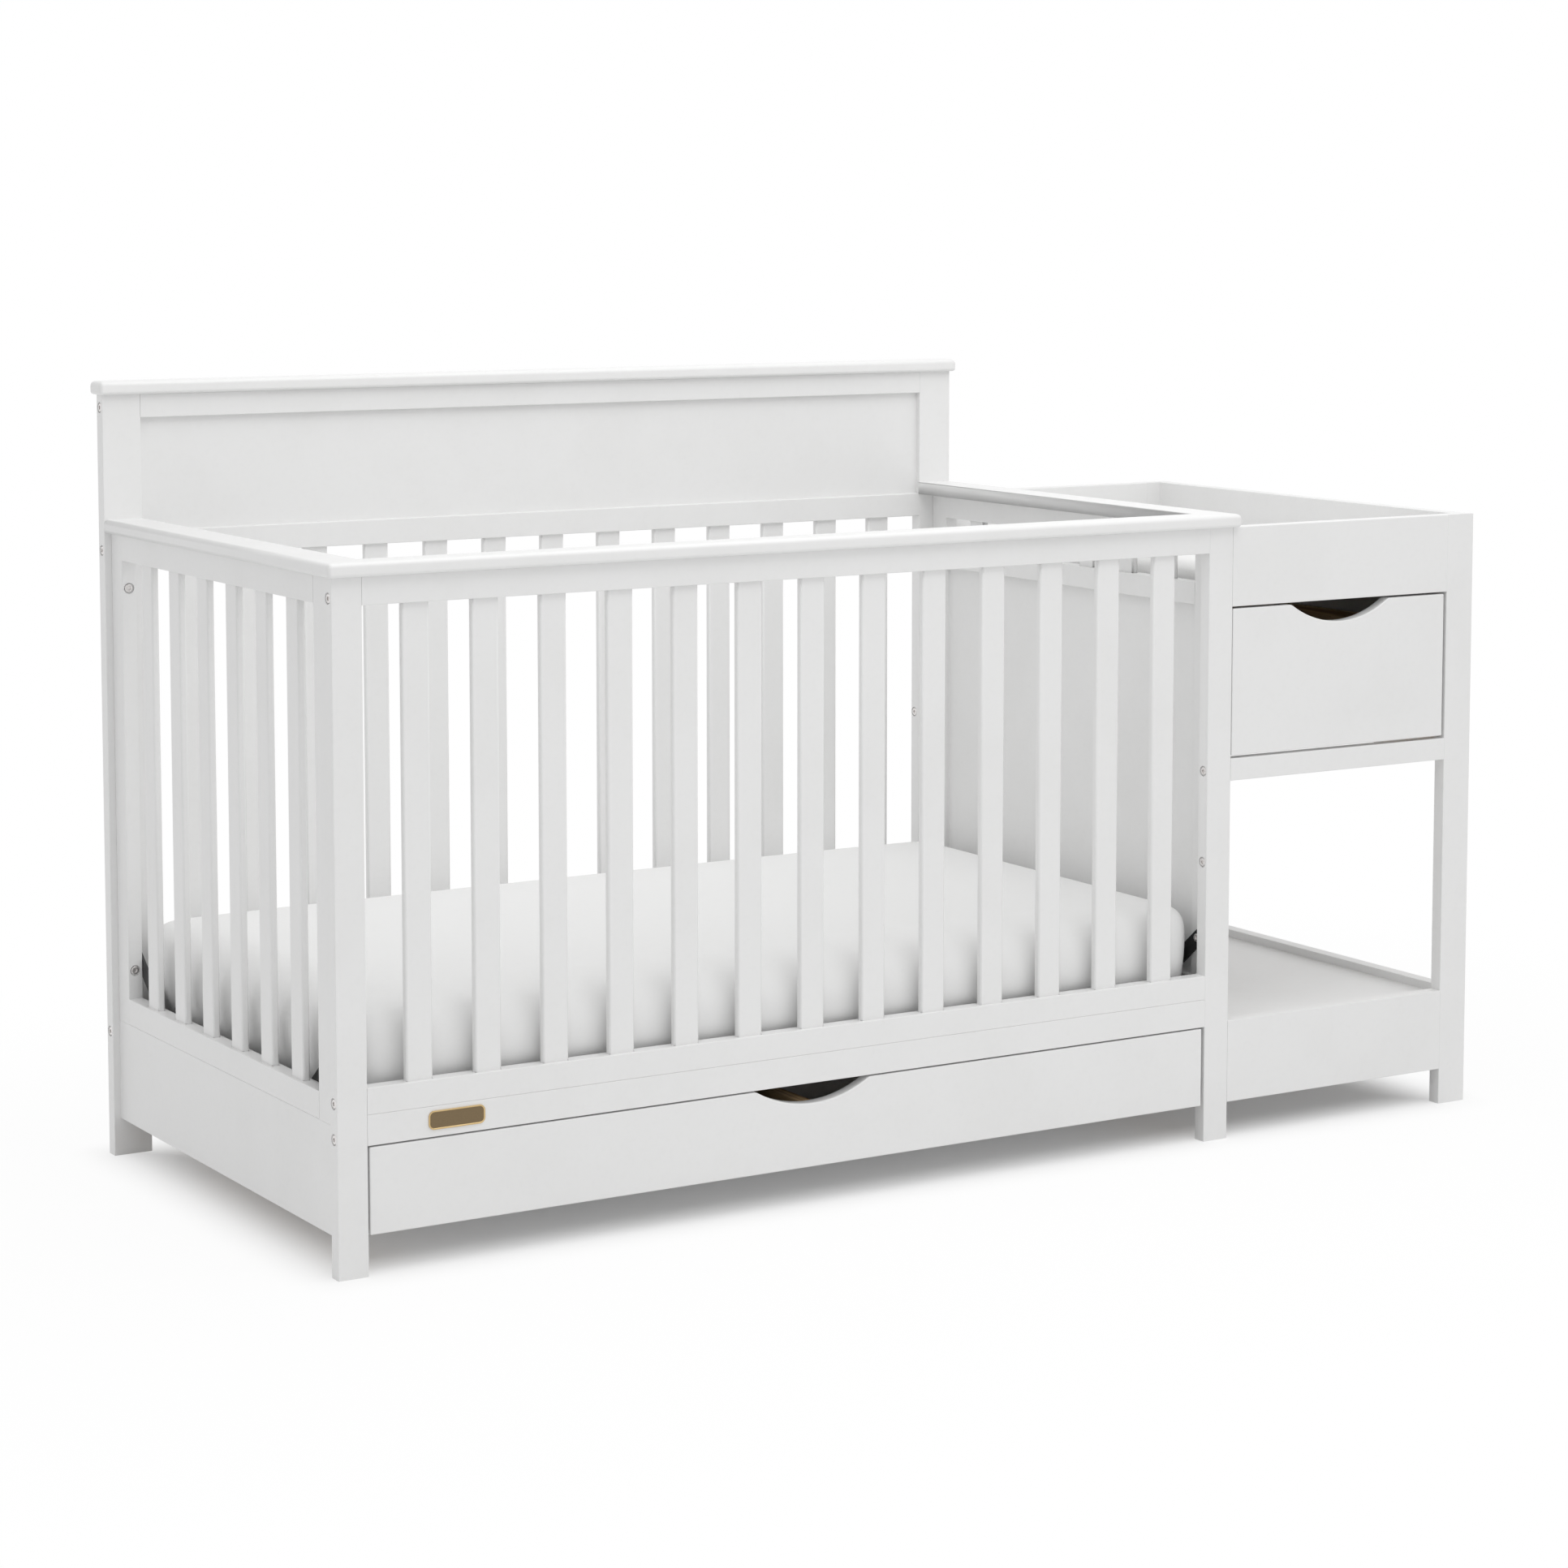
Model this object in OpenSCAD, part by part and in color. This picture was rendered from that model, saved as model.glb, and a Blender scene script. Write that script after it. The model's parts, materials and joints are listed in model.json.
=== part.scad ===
// Full-size crib with an attached changer: one drawer under the crib, one under the
// changing tray, an open shelf below. X runs along the crib, Y from front to back, Z up.
// Sizes are in millimetres. All boards are placed from the outer front corner of the
// front left leg, and placed() then puts the middle of the footprint on the origin.

/* [Crib frame] */
// Length over the front left leg and the shared post
crib_len = 1375; // [1320:0.5:1440]
// Depth from the front plane to the front face of the headboard
crib_depth = 724.5; // [690:0.5:770]
// Thickness of the framing boards
board_t = 20.5; // [18:0.5:23]
// Width of the front left leg and of the shared post
leg_w = 41; // [38:0.5:46]
// Height of the legs, under the caps
leg_h = 869.5; // [850:0.5:900]
// How far a side panel lies inside the outer faces of the legs
side_inset = 2; // [1:0.5:4]
// Width of the side panels' stiles
stile_w = 37; // [32:0.5:44]
// Rounding of the boards' long edges
ease = 1; // [0.5:0.25:1.5]

/* [Rails] */
// Height of the top rails
top_rail_h = 35.5; // [30:0.5:42]
// Height of the front bottom rail, which holds the slats
front_bottom_rail_h = 34; // [30:0.5:40]
// Height of the lower rail, above the drawer
lower_rail_h = 39; // [32:0.5:44]
// Height of the lower rail's bottom edge above the floor
lower_rail_z = 164.5; // [160:0.5:170]
// Height of the aprons' bottom edge above the floor
apron_z = 52; // [46:0.5:58]
// Height of the side aprons' top edge above the floor
side_apron_top = 191.5; // [186:0.5:196]
// Height of the side panels' bottom rails
side_bottom_rail_h = 35.5; // [30:0.5:42]
// Height of the shared side panel's middle rail
side_mid_rail_h = 31.5; // [28:0.5:38]
// Height of the window with short slats, over that rail
side_window_h = 46; // [38:0.5:54]

/* [Slats] */
// Width of a slat
slat_w = 37; // [32:0.5:42]
// Thickness of a slat
slat_t = 10; // [8:0.5:12]
// Rounding of a slat's long edges
slat_r = 3; // [1:0.5:3.5]
// Distance from one slat to the next along the front and the sides
slat_pitch = 95.4; // [88:0.2:97]
// Distance from one slat to the next along the headboard
head_slat_pitch = 94.6; // [88:0.2:97]
// Depth of a slat's mortise
mortise = 10; // [6:0.5:14]

/* [Headboard] */
// How far the headboard stands out past the crib on each side
head_proud = 8; // [4:0.5:14]
// Width of the headboard's legs
head_leg_w = 55.5; // [48:0.5:62]
// Height of the headboard's legs, under its cap
head_leg_h = 1059; // [1020:0.5:1100]
// Height of the headboard's top rail
head_top_rail_h = 32.5; // [28:0.5:38]
// Height of the headboard's middle rail
head_mid_rail_h = 35; // [30:0.5:42]
// Height of the headboard's middle rail top above the legs' top
head_mid_rail_up = 1; // [0:0.5:3]
// Height of the headboard's bottom rail
head_bottom_rail_h = 97; // [85:0.5:105]
// Top of the headboard's bottom rail above the floor
head_bottom_rail_top = 237.5; // [230:0.5:245]

/* [Caps and panels] */
// Thickness of the caps
cap_t = 18.5; // [16:0.5:22]
// Overhang of the front cap and the headboard's cap over their boards
cap_over = 10.25; // [8:0.25:13]
// Overhang of the headboard's cap past its legs
head_cap_over = 6; // [3:0.5:9]
// Width of the side caps
side_cap_w = 57; // [50:0.5:62]
// Rounding of the caps' upper edges
cap_top_r = 6.5; // [4:0.5:8]
// Rounding of the caps' lower edges
cap_under_r = 4.5; // [3:0.5:6]
// Rounding of the caps' upright corners
cap_corner_r = 5; // [3:0.5:7]
// Thickness of the flat panels
panel_t = 6; // [5:0.5:7]
// Depth of the flat panels behind the face of their frame
panel_back = 8; // [6.5:0.5:9]
// Depth of the headboard's panel behind the face of its frame
head_panel_back = 9; // [6.5:0.5:9.5]
// Depth of the grooves that hold flat panels and floors
groove = 5; // [3:0.5:6]

/* [Changer] */
// Clear width between the shared post and the changer's leg
bay_w = 392.5; // [370:0.5:430]
// Width of the changer's legs
changer_leg_w = 48.5; // [44:0.5:54]
// Height of the front board of the changing tray
tray_board_h = 112; // [100:0.5:120]
// Thickness of the tray's floor
tray_floor_t = 12; // [9:0.5:15]
// Height of the tray floor's top above the lower edge of the tray's front board
tray_floor_up = 17.5; // [16:0.5:22]
// Height of the lower edge of the changer's upper case above the floor
case_z = 511.5; // [500:0.5:525]
// Height of the rail under the changer's drawer
case_rail_h = 31.5; // [28:0.5:36]
// Height of the boards round the open shelf
shelf_board_h = 117; // [100:0.5:130]
// Depth of the shelf below the boards round it
shelf_recess = 12; // [8:0.5:16]
// Thickness of the shelf
shelf_t = 12; // [9:0.5:15]

/* [Drawers] */
// Thickness of the drawer fronts
front_t = 18; // [16:0.5:20]
// Thickness of the drawers' sides and backs
drawer_side_t = 12; // [10:0.5:14]
// Thickness of the drawers' floors
drawer_floor_t = 5; // [4:0.5:6]
// Height of the drawers' floors above the lower edge of the sides
drawer_floor_up = 6; // [5:0.5:9]
// Depth of the box under the crib, behind its front
under_box_len = 540; // [500:1:600]
// Height of that box
under_box_h = 80; // [70:1:84]
// Height of that box's lower edge above the floor
under_box_z = 62; // [58:0.5:66]
// Thickness of the divider in that box
divider_t = 19; // [16:0.5:22]
// Height of the divider
divider_h = 63; // [52:1:64]
// Depth of the changer drawer's box, behind its front
changer_box_len = 450; // [420:1:500]
// Height of that box's lower edge above the drawer front's lower edge
changer_box_up = 14; // [11:0.5:18]
// Distance of that box's upper edge below the drawer front's upper edge
changer_box_down = 43.5; // [34:0.5:60]
// Gap over and under the drawer fronts
front_gap = 2; // [1.5:0.25:3]
// Gap to the left of the front under the crib
under_gap_left = 2.75; // [1.5:0.25:4]
// Gap to the left of the changer drawer's front
changer_gap_left = 1.5; // [1:0.25:3]
// Gap to the right of both fronts
front_gap_right = 5; // [3:0.25:6]
// Width of the finger scoop in the front under the crib
under_scoop_w = 181; // [160:1:200]
// Depth of that scoop
under_scoop_d = 24.7; // [22:0.1:25]
// Width of the finger scoop in the changer drawer's front
changer_scoop_w = 183; // [160:1:200]
// Depth of that scoop
changer_scoop_d = 28; // [24:0.1:32]
// Rounding where a scoop meets the top edge
scoop_blend = 10; // [6:0.5:14]

/* [Roller runners] */
// Space that a runner fills between the carcass and the drawer
runner_gap = 12.7; // [12.5:0.1:14]
// Sheet thickness of the runners
sheet_t = 1.2; // [1:0.1:1.4]
// Radius of a roller
roller_r = 9; // [8:0.25:9.5]
// Width of a roller
roller_w = 5; // [4.5:0.25:5.5]
// Radius of a roller's pin
pin_r = 2.5; // [2:0.1:3]
// Clearance round a pin
pin_gap = 0.08; // [0.05:0.01:0.1]
// Gap between a roller and the flange it runs on
roll_gap = 0.3; // [0.25:0.05:0.4]
// Distance from a runner's end to the roller's axis
roller_end = 13; // [12:0.5:16]
// Travel of the drawer under the crib
under_travel = 380; // [300:5:400]
// Travel of the changer's drawer
changer_travel = 330; // [260:5:350]

/* [Mattress and its support] */
// Height of the mattress support's top above the floor
support_top = 196; // [190:0.5:205]
// Width of the support's angle steel
angle_w = 25; // [20:0.5:28]
// Thickness of the support's steel
angle_t = 2; // [1.5:0.25:2.5]
// Thickness of the corner straps
strap_t = 3; // [2:0.25:4]
// Width of the corner straps
strap_w = 21; // [18:0.5:24]
// Gap between the support and the front and back of the crib
support_gap = 3.5; // [2:0.5:5]
// Width of the flat bars across the support
bar_w = 14; // [10:1:18]
// Distance from one of those bars to the next
bar_pitch = 69; // [55:1:85]
// Thickness of the mattress at its edge
mattress_t = 127; // [100:1:140]
// How far the middle of the mattress rises over its edge
mattress_crown = 8; // [4:0.5:12]
// Height over which the mattress's sides curve into its top and bottom
mattress_edge_up = 58; // [40:1:60]
// How far its top and bottom draw in over that height
mattress_edge_in = 24; // [16:1:32]
// Rounding of its upright corners
mattress_corner_r = 46; // [36:1:60]
// Gap between the mattress and the sides of the crib
mattress_gap = 10; // [7:0.5:14]
// Gap between the mattress and the front and back of the crib
mattress_gap_y = 7; // [5:0.5:10]
// Thickness of the changing pad at its edge
pad_t = 27; // [22:0.5:32]
// How far the middle of the changing pad rises over its edge
pad_crown = 5; // [2:0.5:8]
// Height over which the pad's sides curve into its top and bottom
pad_edge_up = 13; // [8:0.5:14]
// How far its top and bottom draw in over that height
pad_edge_in = 12; // [8:0.5:16]
// Rounding of its upright corners
pad_corner_r = 26; // [18:1:36]
// Gap between the changing pad and the tray's sides
pad_gap = 2.5; // [2:0.25:4]
// Gap between the changing pad and the front and back of the tray
pad_gap_y = 7; // [4:0.5:10]

/* [Fasteners] */
// Diameter of a bolt's head
bolt_head_d = 12; // [10:0.5:13.5]
// Diameter of the recess that the head sits in
bolt_recess_d = 15; // [14:0.5:16]
// Depth of that recess
bolt_head_h = 3; // [2.5:0.25:4]
// Diameter of a bolt's shank
bolt_d = 6; // [5:0.5:7]
// How far a bolt reaches into the second board
bolt_bite = 24; // [18:1:30]
// Clearance round a bolt
bolt_gap = 0.25; // [0.15:0.05:0.4]

/* [Hidden] */

// Finishes
white = [0.93, 0.93, 0.92];
soft_white = [0.97, 0.97, 0.96];
beech = [0.72, 0.55, 0.38];
black_steel = [0.07, 0.07, 0.07];
zinc = [0.74, 0.75, 0.76];
nylon = [0.86, 0.86, 0.84];

// Facets of an eased edge, of a slat's edge and of a cap's rounding
ease_n = 2;
slat_n = 4;
cap_n = 6;
round_fn = 48;
// How far a cutting tool reaches past the surface that it cuts
past = 1;
// Clearance between steel strips that are welded or riveted together, or meet at a fold
weld_gap = 0.05;

// Where the boards of the crib lie
front_y = [0, board_t];
back_y = [crib_depth, crib_depth + board_t];
side_y = [board_t, crib_depth];
window_y = [side_y[0] + stile_w, side_y[1] - stile_w];
left_x = [side_inset, side_inset + board_t];
right_x = [crib_len - side_inset - board_t, crib_len - side_inset];
rail_x = [leg_w, crib_len - leg_w];
head_x = [-head_proud, crib_len + head_proud];
head_rail_x = [head_x[0] + head_leg_w, head_x[1] - head_leg_w];
leg_z = [0, leg_h];
top_rail_z = [leg_h - top_rail_h, leg_h];
lower_rail_zz = [lower_rail_z, lower_rail_z + lower_rail_h];
front_bottom_z = [lower_rail_zz[1], lower_rail_zz[1] + front_bottom_rail_h];
apron_zz = [apron_z, side_apron_top];
side_bottom_z = [side_apron_top, side_apron_top + side_bottom_rail_h];
mid_rail_z = [top_rail_z[0] - side_window_h - side_mid_rail_h, top_rail_z[0] - side_window_h];
head_top_z = [head_leg_h - head_top_rail_h, head_leg_h];
head_mid_z = [leg_h + head_mid_rail_up - head_mid_rail_h, leg_h + head_mid_rail_up];
head_bottom_z = [head_bottom_rail_top - head_bottom_rail_h, head_bottom_rail_top];
cap_z = [leg_h, leg_h + cap_t];
head_cap_z = [head_leg_h, head_leg_h + cap_t];
front_cap_y = [front_y[0] - cap_over, front_y[1] + cap_over];
head_cap_y = [back_y[0] - cap_over, back_y[1] + cap_over];
head_cap_x = [head_x[0] - head_cap_over, head_x[1] + head_cap_over];
left_cap_x = [head_x[0], head_x[0] + side_cap_w];
right_cap_x = [head_x[1] - side_cap_w, head_x[1]];
side_cap_y = [front_cap_y[1], crib_depth];

// Where the changer's boards lie
bay_x = [crib_len, crib_len + bay_w];
changer_leg_x = [bay_x[1], bay_x[1] + changer_leg_w];
wall_x = [changer_leg_x[1] - side_inset - board_t, changer_leg_x[1] - side_inset];
tray_board_z = [leg_h - tray_board_h, leg_h];
tray_floor_z = [tray_board_z[0] + tray_floor_up - tray_floor_t, tray_board_z[0] + tray_floor_up];
case_zz = [case_z, leg_h];
case_rail_z = [case_z, case_z + case_rail_h];
shelf_rail_z = [apron_z, apron_z + shelf_board_h];
shelf_z = [shelf_rail_z[1] - shelf_recess - shelf_t, shelf_rail_z[1] - shelf_recess];
back_panel_x = [head_x[1], bay_x[1]];
head_panel_y = [back_y[0] + head_panel_back, back_y[0] + head_panel_back + panel_t];
panel_x = [right_x[0] + panel_back, right_x[0] + panel_back + panel_t];

// The middle of the footprint
x_mid = (head_cap_x[0] + changer_leg_x[1]) / 2;
y_mid = (front_cap_y[0] + head_cap_y[1]) / 2;

// Slats lie in the middle of their boards
slat_back = (board_t - slat_t) / 2;

// Drawers: the runner lies between a cleat and the drawer's side
cleat_h = 42;
shelf_cleat = 20;
runner_up = 18;
under_front_x = [rail_x[0] + under_gap_left, rail_x[1] - front_gap_right];
under_front_z = [apron_z, lower_rail_z - front_gap];
under_box_x = [rail_x[0] + runner_gap, rail_x[1] - runner_gap];
under_box_y = [front_t, front_t + under_box_len];
under_runner_z = under_box_z + runner_up;
changer_front_x = [bay_x[0] + changer_gap_left, bay_x[1] - front_gap_right];
changer_front_z = [case_rail_z[1] + 2 * front_gap, tray_board_z[0] - 1.5 * front_gap];
changer_box_x = [bay_x[0] + runner_gap, bay_x[1] - runner_gap];
changer_box_y = [front_t, front_t + changer_box_len];
changer_box_zz = [changer_front_z[0] + changer_box_up, changer_front_z[1] - changer_box_down];
changer_runner_z = changer_box_zz[0] + runner_up;
under_cleat_left_x = [left_x[1], rail_x[0]];
under_cleat_right_x = [rail_x[1], right_x[0]];
changer_cleat_left_x = [panel_x[1], bay_x[0]];
changer_cleat_right_x = [bay_x[1], wall_x[0]];

// Runners, measured outwards from the cleat's face and up from the channel's middle
channel_low = -roller_r - roll_gap;
channel_high = roller_r + 2 * roll_gap;
channel_depth = 8.5;
roller_out = 2.8;
roller_side = 0.2;
front_roller_up = 2.2;
lip_under = front_roller_up + roller_r + roll_gap;
pin_head_r = 4;
pin_head_t = 0.8;
roller_chamfer = 0.6;
runner_under = 8;
runner_start = board_t + 2;

// Mattress support
support_x = [left_x[1] + strap_t, right_x[0] - strap_t];
support_y = [side_y[0] + support_gap, side_y[1] - support_gap];
strap_rise = 88;
strap_drop = 12;
strap_foot_in = 140;
strap_bolt_in = stile_w / 2;
strap_bolt_z = support_top + strap_rise;
strap_foot_z = support_top - strap_drop;

// Bolts: how far a head lies under the surface, and how far it lies from a rail's middle or edge
bolt_sunk = 0.3;
upper_bolt_down = 8;
lower_bolt_up = 11;
head_top_bolt_down = 1.5;
head_bottom_bolt_up = 34;
stile_bolt_down = 38;
stile_bolt_up = 39;
insert_bolt_up = 58;
front_bolt_z = [middle(top_rail_z) - upper_bolt_down, middle(front_bottom_z),
                lower_rail_zz[0] + lower_bolt_up];
head_bolt_z = [middle(head_top_z) - head_top_bolt_down, middle(head_mid_z) - upper_bolt_down,
               head_bottom_z[0] + head_bottom_bolt_up];
stile_bolt_z = [top_rail_z[0] - stile_bolt_down, side_bottom_z[1] + stile_bolt_up];
// How much of a front leg's thickness stays behind the end of a stile's bolt
stile_skin = 4;
stile_bite = board_t - stile_skin;
case_bolt_z = [middle(case_rail_z)];
wall_bolt_z = [middle(tray_board_z), middle(case_rail_z), middle(shelf_rail_z)];
front_bolt_y = board_t / 2;
back_bolt_y = crib_depth + board_t / 2;
// The bolt that holds the changer's back panel lies a little behind the board's middle
case_bolt_off = 2.5;
case_bolt_y = back_bolt_y + case_bolt_off;
// A short bolt that closes a threaded insert in the shared post
insert_bolt_z = [(shelf_rail_z[1] + case_z) / 2 + insert_bolt_up];
insert_bolt_grip = 8;
// Side by side: the place along X and the heights. The right panel leaves no room for a lower one.
stile_bolts = [[middle(left_x), stile_bolt_z], [middle(right_x), [stile_bolt_z[0]]]];

// --- Outlines -------------------------------------------------------------------------

function quarter(cx, cy, r, a, n) =
    r <= 0 ? [[cx, cy]] : [for (i = [0:n]) [cx + r * cos(a + 90 * i / n), cy + r * sin(a + 90 * i / n)]];

// Rectangle w by h with its corner radii from the lower left one, anticlockwise
function outline(w, h, r, n) = concat(
    quarter(r[0], r[0], r[0], 180, n),
    quarter(w - r[1], r[1], r[1], 270, n),
    quarter(w - r[2], h - r[2], r[2], 0, n),
    quarter(r[3], h - r[3], r[3], 90, n));

function eased(w, h) = outline(w, h, [ease, ease, ease, ease], ease_n);

function slat_outline(w, h) = outline(w, h, [slat_r, slat_r, slat_r, slat_r], slat_n);

function span(range) = range[1] - range[0];

function middle(range) = (range[0] + range[1]) / 2;

// The slats' middles along a stretch, at a given pitch
function slat_places(range, pitch) =
    let (n = round(span(range) / pitch - 0.5))
    [for (i = [0:n - 1]) middle(range) + (i - (n - 1) / 2) * pitch];

// --- Boards ---------------------------------------------------------------------------

module placed() {
    translate([-x_mid, -y_mid, 0]) children();
}

module extrude_x(x, y0, z0, points) {
    translate([x[0], y0, z0]) rotate([90, 0, 90]) linear_extrude(span(x)) polygon(points);
}

module extrude_y(y, x0, z0, points) {
    translate([x0, y[1], z0]) rotate([90, 0, 0]) linear_extrude(span(y)) polygon(points);
}

module extrude_z(z, x0, y0, points) {
    translate([x0, y0, z[0]]) linear_extrude(span(z)) polygon(points);
}

module board_x(x, y, z) {
    extrude_x(x, y[0], z[0], eased(span(y), span(z)));
}

module board_y(x, y, z) {
    extrude_y(y, x[0], z[0], eased(span(x), span(z)));
}

module board_z(x, y, z) {
    extrude_z(z, x[0], y[0], eased(span(x), span(y)));
}

module block(x, y, z) {
    translate([x[0], y[0], z[0]]) cube([span(x), span(y), span(z)]);
}

// A cap whose outer edges are rounded: round_off says which of left, right, front and back
module cap(x, y, z, round_off) {
    top = [for (flag = round_off) flag ? cap_top_r : ease];
    under = [for (flag = round_off) flag ? cap_under_r : ease];
    corner = [for (pair = [[0, 2], [1, 2], [1, 3], [0, 3]])
                  round_off[pair[0]] && round_off[pair[1]] ? cap_corner_r : 0];
    intersection() {
        extrude_x(x, y[0], z[0], outline(span(y), span(z), [under[2], under[3], top[3], top[2]], cap_n));
        if (round_off[0] || round_off[1])
            extrude_y(y, x[0], z[0],
                      outline(span(x), span(z), [under[0], under[1], top[1], top[0]], cap_n));
        if (round_off[0] || round_off[1])
            extrude_z(z, x[0], y[0], outline(span(x), span(y), corner, cap_n));
    }
}

// A side cap runs from front to back and is rounded along one long edge
module side_cap(x, outer_left) {
    r = outer_left ? [cap_under_r, ease, ease, cap_top_r] : [ease, cap_under_r, cap_top_r, ease];
    extrude_y(side_cap_y, x[0], cap_z[0], outline(span(x), cap_t, r, cap_n));
}

// --- Slats and their mortises -----------------------------------------------------------

module slats_x(range, pitch, y0, z) {
    for (x = slat_places(range, pitch))
        extrude_z([z[0] - mortise, z[1] + mortise], x - slat_w / 2, y0, slat_outline(slat_w, slat_t));
}

module slats_y(x0, z) {
    for (y = slat_places(window_y, slat_pitch))
        extrude_z([z[0] - mortise, z[1] + mortise], x0, y - slat_w / 2, slat_outline(slat_t, slat_w));
}

// Mortises reach from z[0] to z[1]
module mortises_x(range, pitch, y0, z) {
    for (x = slat_places(range, pitch))
        block([x - slat_w / 2, x + slat_w / 2], [y0, y0 + slat_t], z);
}

module mortises_y(x0, z) {
    for (y = slat_places(window_y, slat_pitch))
        block([x0, x0 + slat_t], [y - slat_w / 2, y + slat_w / 2], z);
}

// --- Bolts ----------------------------------------------------------------------------

// A bolt along +X from its head, with a hexagon socket; grip is the first board's width
module bolt(grip) {
    rotate([0, 90, 0]) difference() {
        union() {
            translate([0, 0, bolt_sunk])
                cylinder(d = bolt_head_d, h = bolt_head_h - bolt_sunk, $fn = round_fn);
            translate([0, 0, bolt_head_h])
                cylinder(d = bolt_d, h = grip - bolt_head_h + bolt_bite, $fn = round_fn);
        }
        translate([0, 0, -past]) cylinder(d = bolt_d, h = bolt_head_h - bolt_sunk + past, $fn = 6);
    }
}

// The hole for it: a recess for the head, and a bore through the first board into the second
module bolt_hole(grip) {
    rotate([0, 90, 0]) {
        translate([0, 0, -past]) cylinder(d = bolt_recess_d, h = bolt_head_h + past, $fn = round_fn);
        cylinder(d = bolt_d + 2 * bolt_gap, h = grip + bolt_bite + past, $fn = round_fn);
    }
}

// Places a bolt or its hole on a board's face at each height; facing is 1 where it runs along +X
module along_x(x, y, heights, facing) {
    for (z = heights)
        translate([x, y, z]) rotate([0, 0, facing > 0 ? 0 : 180]) children();
}

module along_y(x, y, heights, facing) {
    for (z = heights)
        translate([x, y, z]) rotate([0, 0, facing > 0 ? 90 : -90]) children();
}

// --- Headboard ------------------------------------------------------------------------

module headboard_leg(x, outer_face, facing) {
    difference() {
        board_z(x, back_y, [0, head_leg_h]);
        block([head_rail_x[0] - groove, head_rail_x[1] + groove], head_panel_y,
              [head_mid_z[1] - groove, head_top_z[0] + groove]);
        along_x(outer_face, back_bolt_y, head_bolt_z, facing) bolt_hole(head_leg_w);
        for (bolts = stile_bolts)
            along_y(bolts[0], window_y[1], bolts[1], 1) bolt_hole(stile_w);
    }
}

module headboard_left_leg() {
    color(white) placed() headboard_leg([head_x[0], head_rail_x[0]], head_x[0], 1);
}

module headboard_right_leg() {
    color(white) placed() difference() {
        headboard_leg([head_rail_x[1], head_x[1]], head_x[1], -1);
        along_x(head_rail_x[1], case_bolt_y, case_bolt_z, 1) bolt_hole(head_leg_w);
    }
}

module headboard_cap() {
    color(white) placed() cap(head_cap_x, head_cap_y, head_cap_z, [true, true, true, true]);
}

module headboard_top_rail() {
    color(white) placed() difference() {
        board_x(head_rail_x, back_y, head_top_z);
        block(head_rail_x, head_panel_y, [head_top_z[0] - past, head_top_z[0] + groove]);
        along_x(head_x[0], back_bolt_y, [head_bolt_z[0]], 1) bolt_hole(head_leg_w);
        along_x(head_x[1], back_bolt_y, [head_bolt_z[0]], -1) bolt_hole(head_leg_w);
    }
}

module headboard_panel() {
    color(white) placed()
        block([head_rail_x[0] - groove, head_rail_x[1] + groove], head_panel_y,
              [head_mid_z[1] - groove, head_top_z[0] + groove]);
}

module headboard_mid_rail() {
    color(white) placed() difference() {
        board_x(head_rail_x, back_y, head_mid_z);
        block(head_rail_x, head_panel_y, [head_mid_z[1] - groove, head_mid_z[1] + past]);
        mortises_x(head_rail_x, head_slat_pitch, back_y[0] + slat_back,
                   [head_mid_z[0] - past, head_mid_z[0] + mortise]);
        along_x(head_x[0], back_bolt_y, [head_bolt_z[1]], 1) bolt_hole(head_leg_w);
        along_x(head_x[1], back_bolt_y, [head_bolt_z[1]], -1) bolt_hole(head_leg_w);
    }
}

module headboard_slats() {
    color(white) placed()
        slats_x(head_rail_x, head_slat_pitch, back_y[0] + slat_back, [head_bottom_z[1], head_mid_z[0]]);
}

module headboard_bottom_rail() {
    color(white) placed() difference() {
        board_x(head_rail_x, back_y, head_bottom_z);
        mortises_x(head_rail_x, head_slat_pitch, back_y[0] + slat_back,
                   [head_bottom_z[1] - mortise, head_bottom_z[1] + past]);
        along_x(head_x[0], back_bolt_y, [head_bolt_z[2]], 1) bolt_hole(head_leg_w);
        along_x(head_x[1], back_bolt_y, [head_bolt_z[2]], -1) bolt_hole(head_leg_w);
    }
}

// --- Front ----------------------------------------------------------------------------

module front_left_leg() {
    color(white) placed() difference() {
        board_z([0, rail_x[0]], front_y, leg_z);
        along_x(0, front_bolt_y, front_bolt_z, 1) bolt_hole(leg_w);
        along_y(stile_bolts[0][0], window_y[0], stile_bolts[0][1], -1) stile_bolt_hole();
    }
}

module shared_front_post() {
    color(white) placed() difference() {
        board_z([rail_x[1], crib_len], front_y, leg_z);
        along_x(crib_len, front_bolt_y, front_bolt_z, -1) bolt_hole(leg_w);
        along_x(rail_x[1], front_bolt_y, case_bolt_z, 1) bolt_hole(leg_w);
        along_x(rail_x[1], front_bolt_y, insert_bolt_z, 1) bolt_hole(insert_bolt_grip);
        along_y(stile_bolts[1][0], window_y[0], stile_bolts[1][1], -1) stile_bolt_hole();
    }
}

module front_cap() {
    color(white) placed() cap(head_x, front_cap_y, cap_z, [true, true, true, false]);
}

module front_top_rail() {
    color(white) placed() difference() {
        board_x(rail_x, front_y, top_rail_z);
        mortises_x(rail_x, slat_pitch, slat_back, [top_rail_z[0] - past, top_rail_z[0] + mortise]);
        front_rail_bolts(front_bolt_z[0]);
    }
}

module front_rail_bolts(z) {
    along_x(0, front_bolt_y, [z], 1) bolt_hole(leg_w);
    along_x(crib_len, front_bolt_y, [z], -1) bolt_hole(leg_w);
}

module front_slats() {
    color(white) placed() slats_x(rail_x, slat_pitch, slat_back, [front_bottom_z[1], top_rail_z[0]]);
}

module front_bottom_rail() {
    color(white) placed() difference() {
        board_x(rail_x, front_y, front_bottom_z);
        mortises_x(rail_x, slat_pitch, slat_back, [front_bottom_z[1] - mortise, front_bottom_z[1] + past]);
        front_rail_bolts(front_bolt_z[1]);
    }
}

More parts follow.
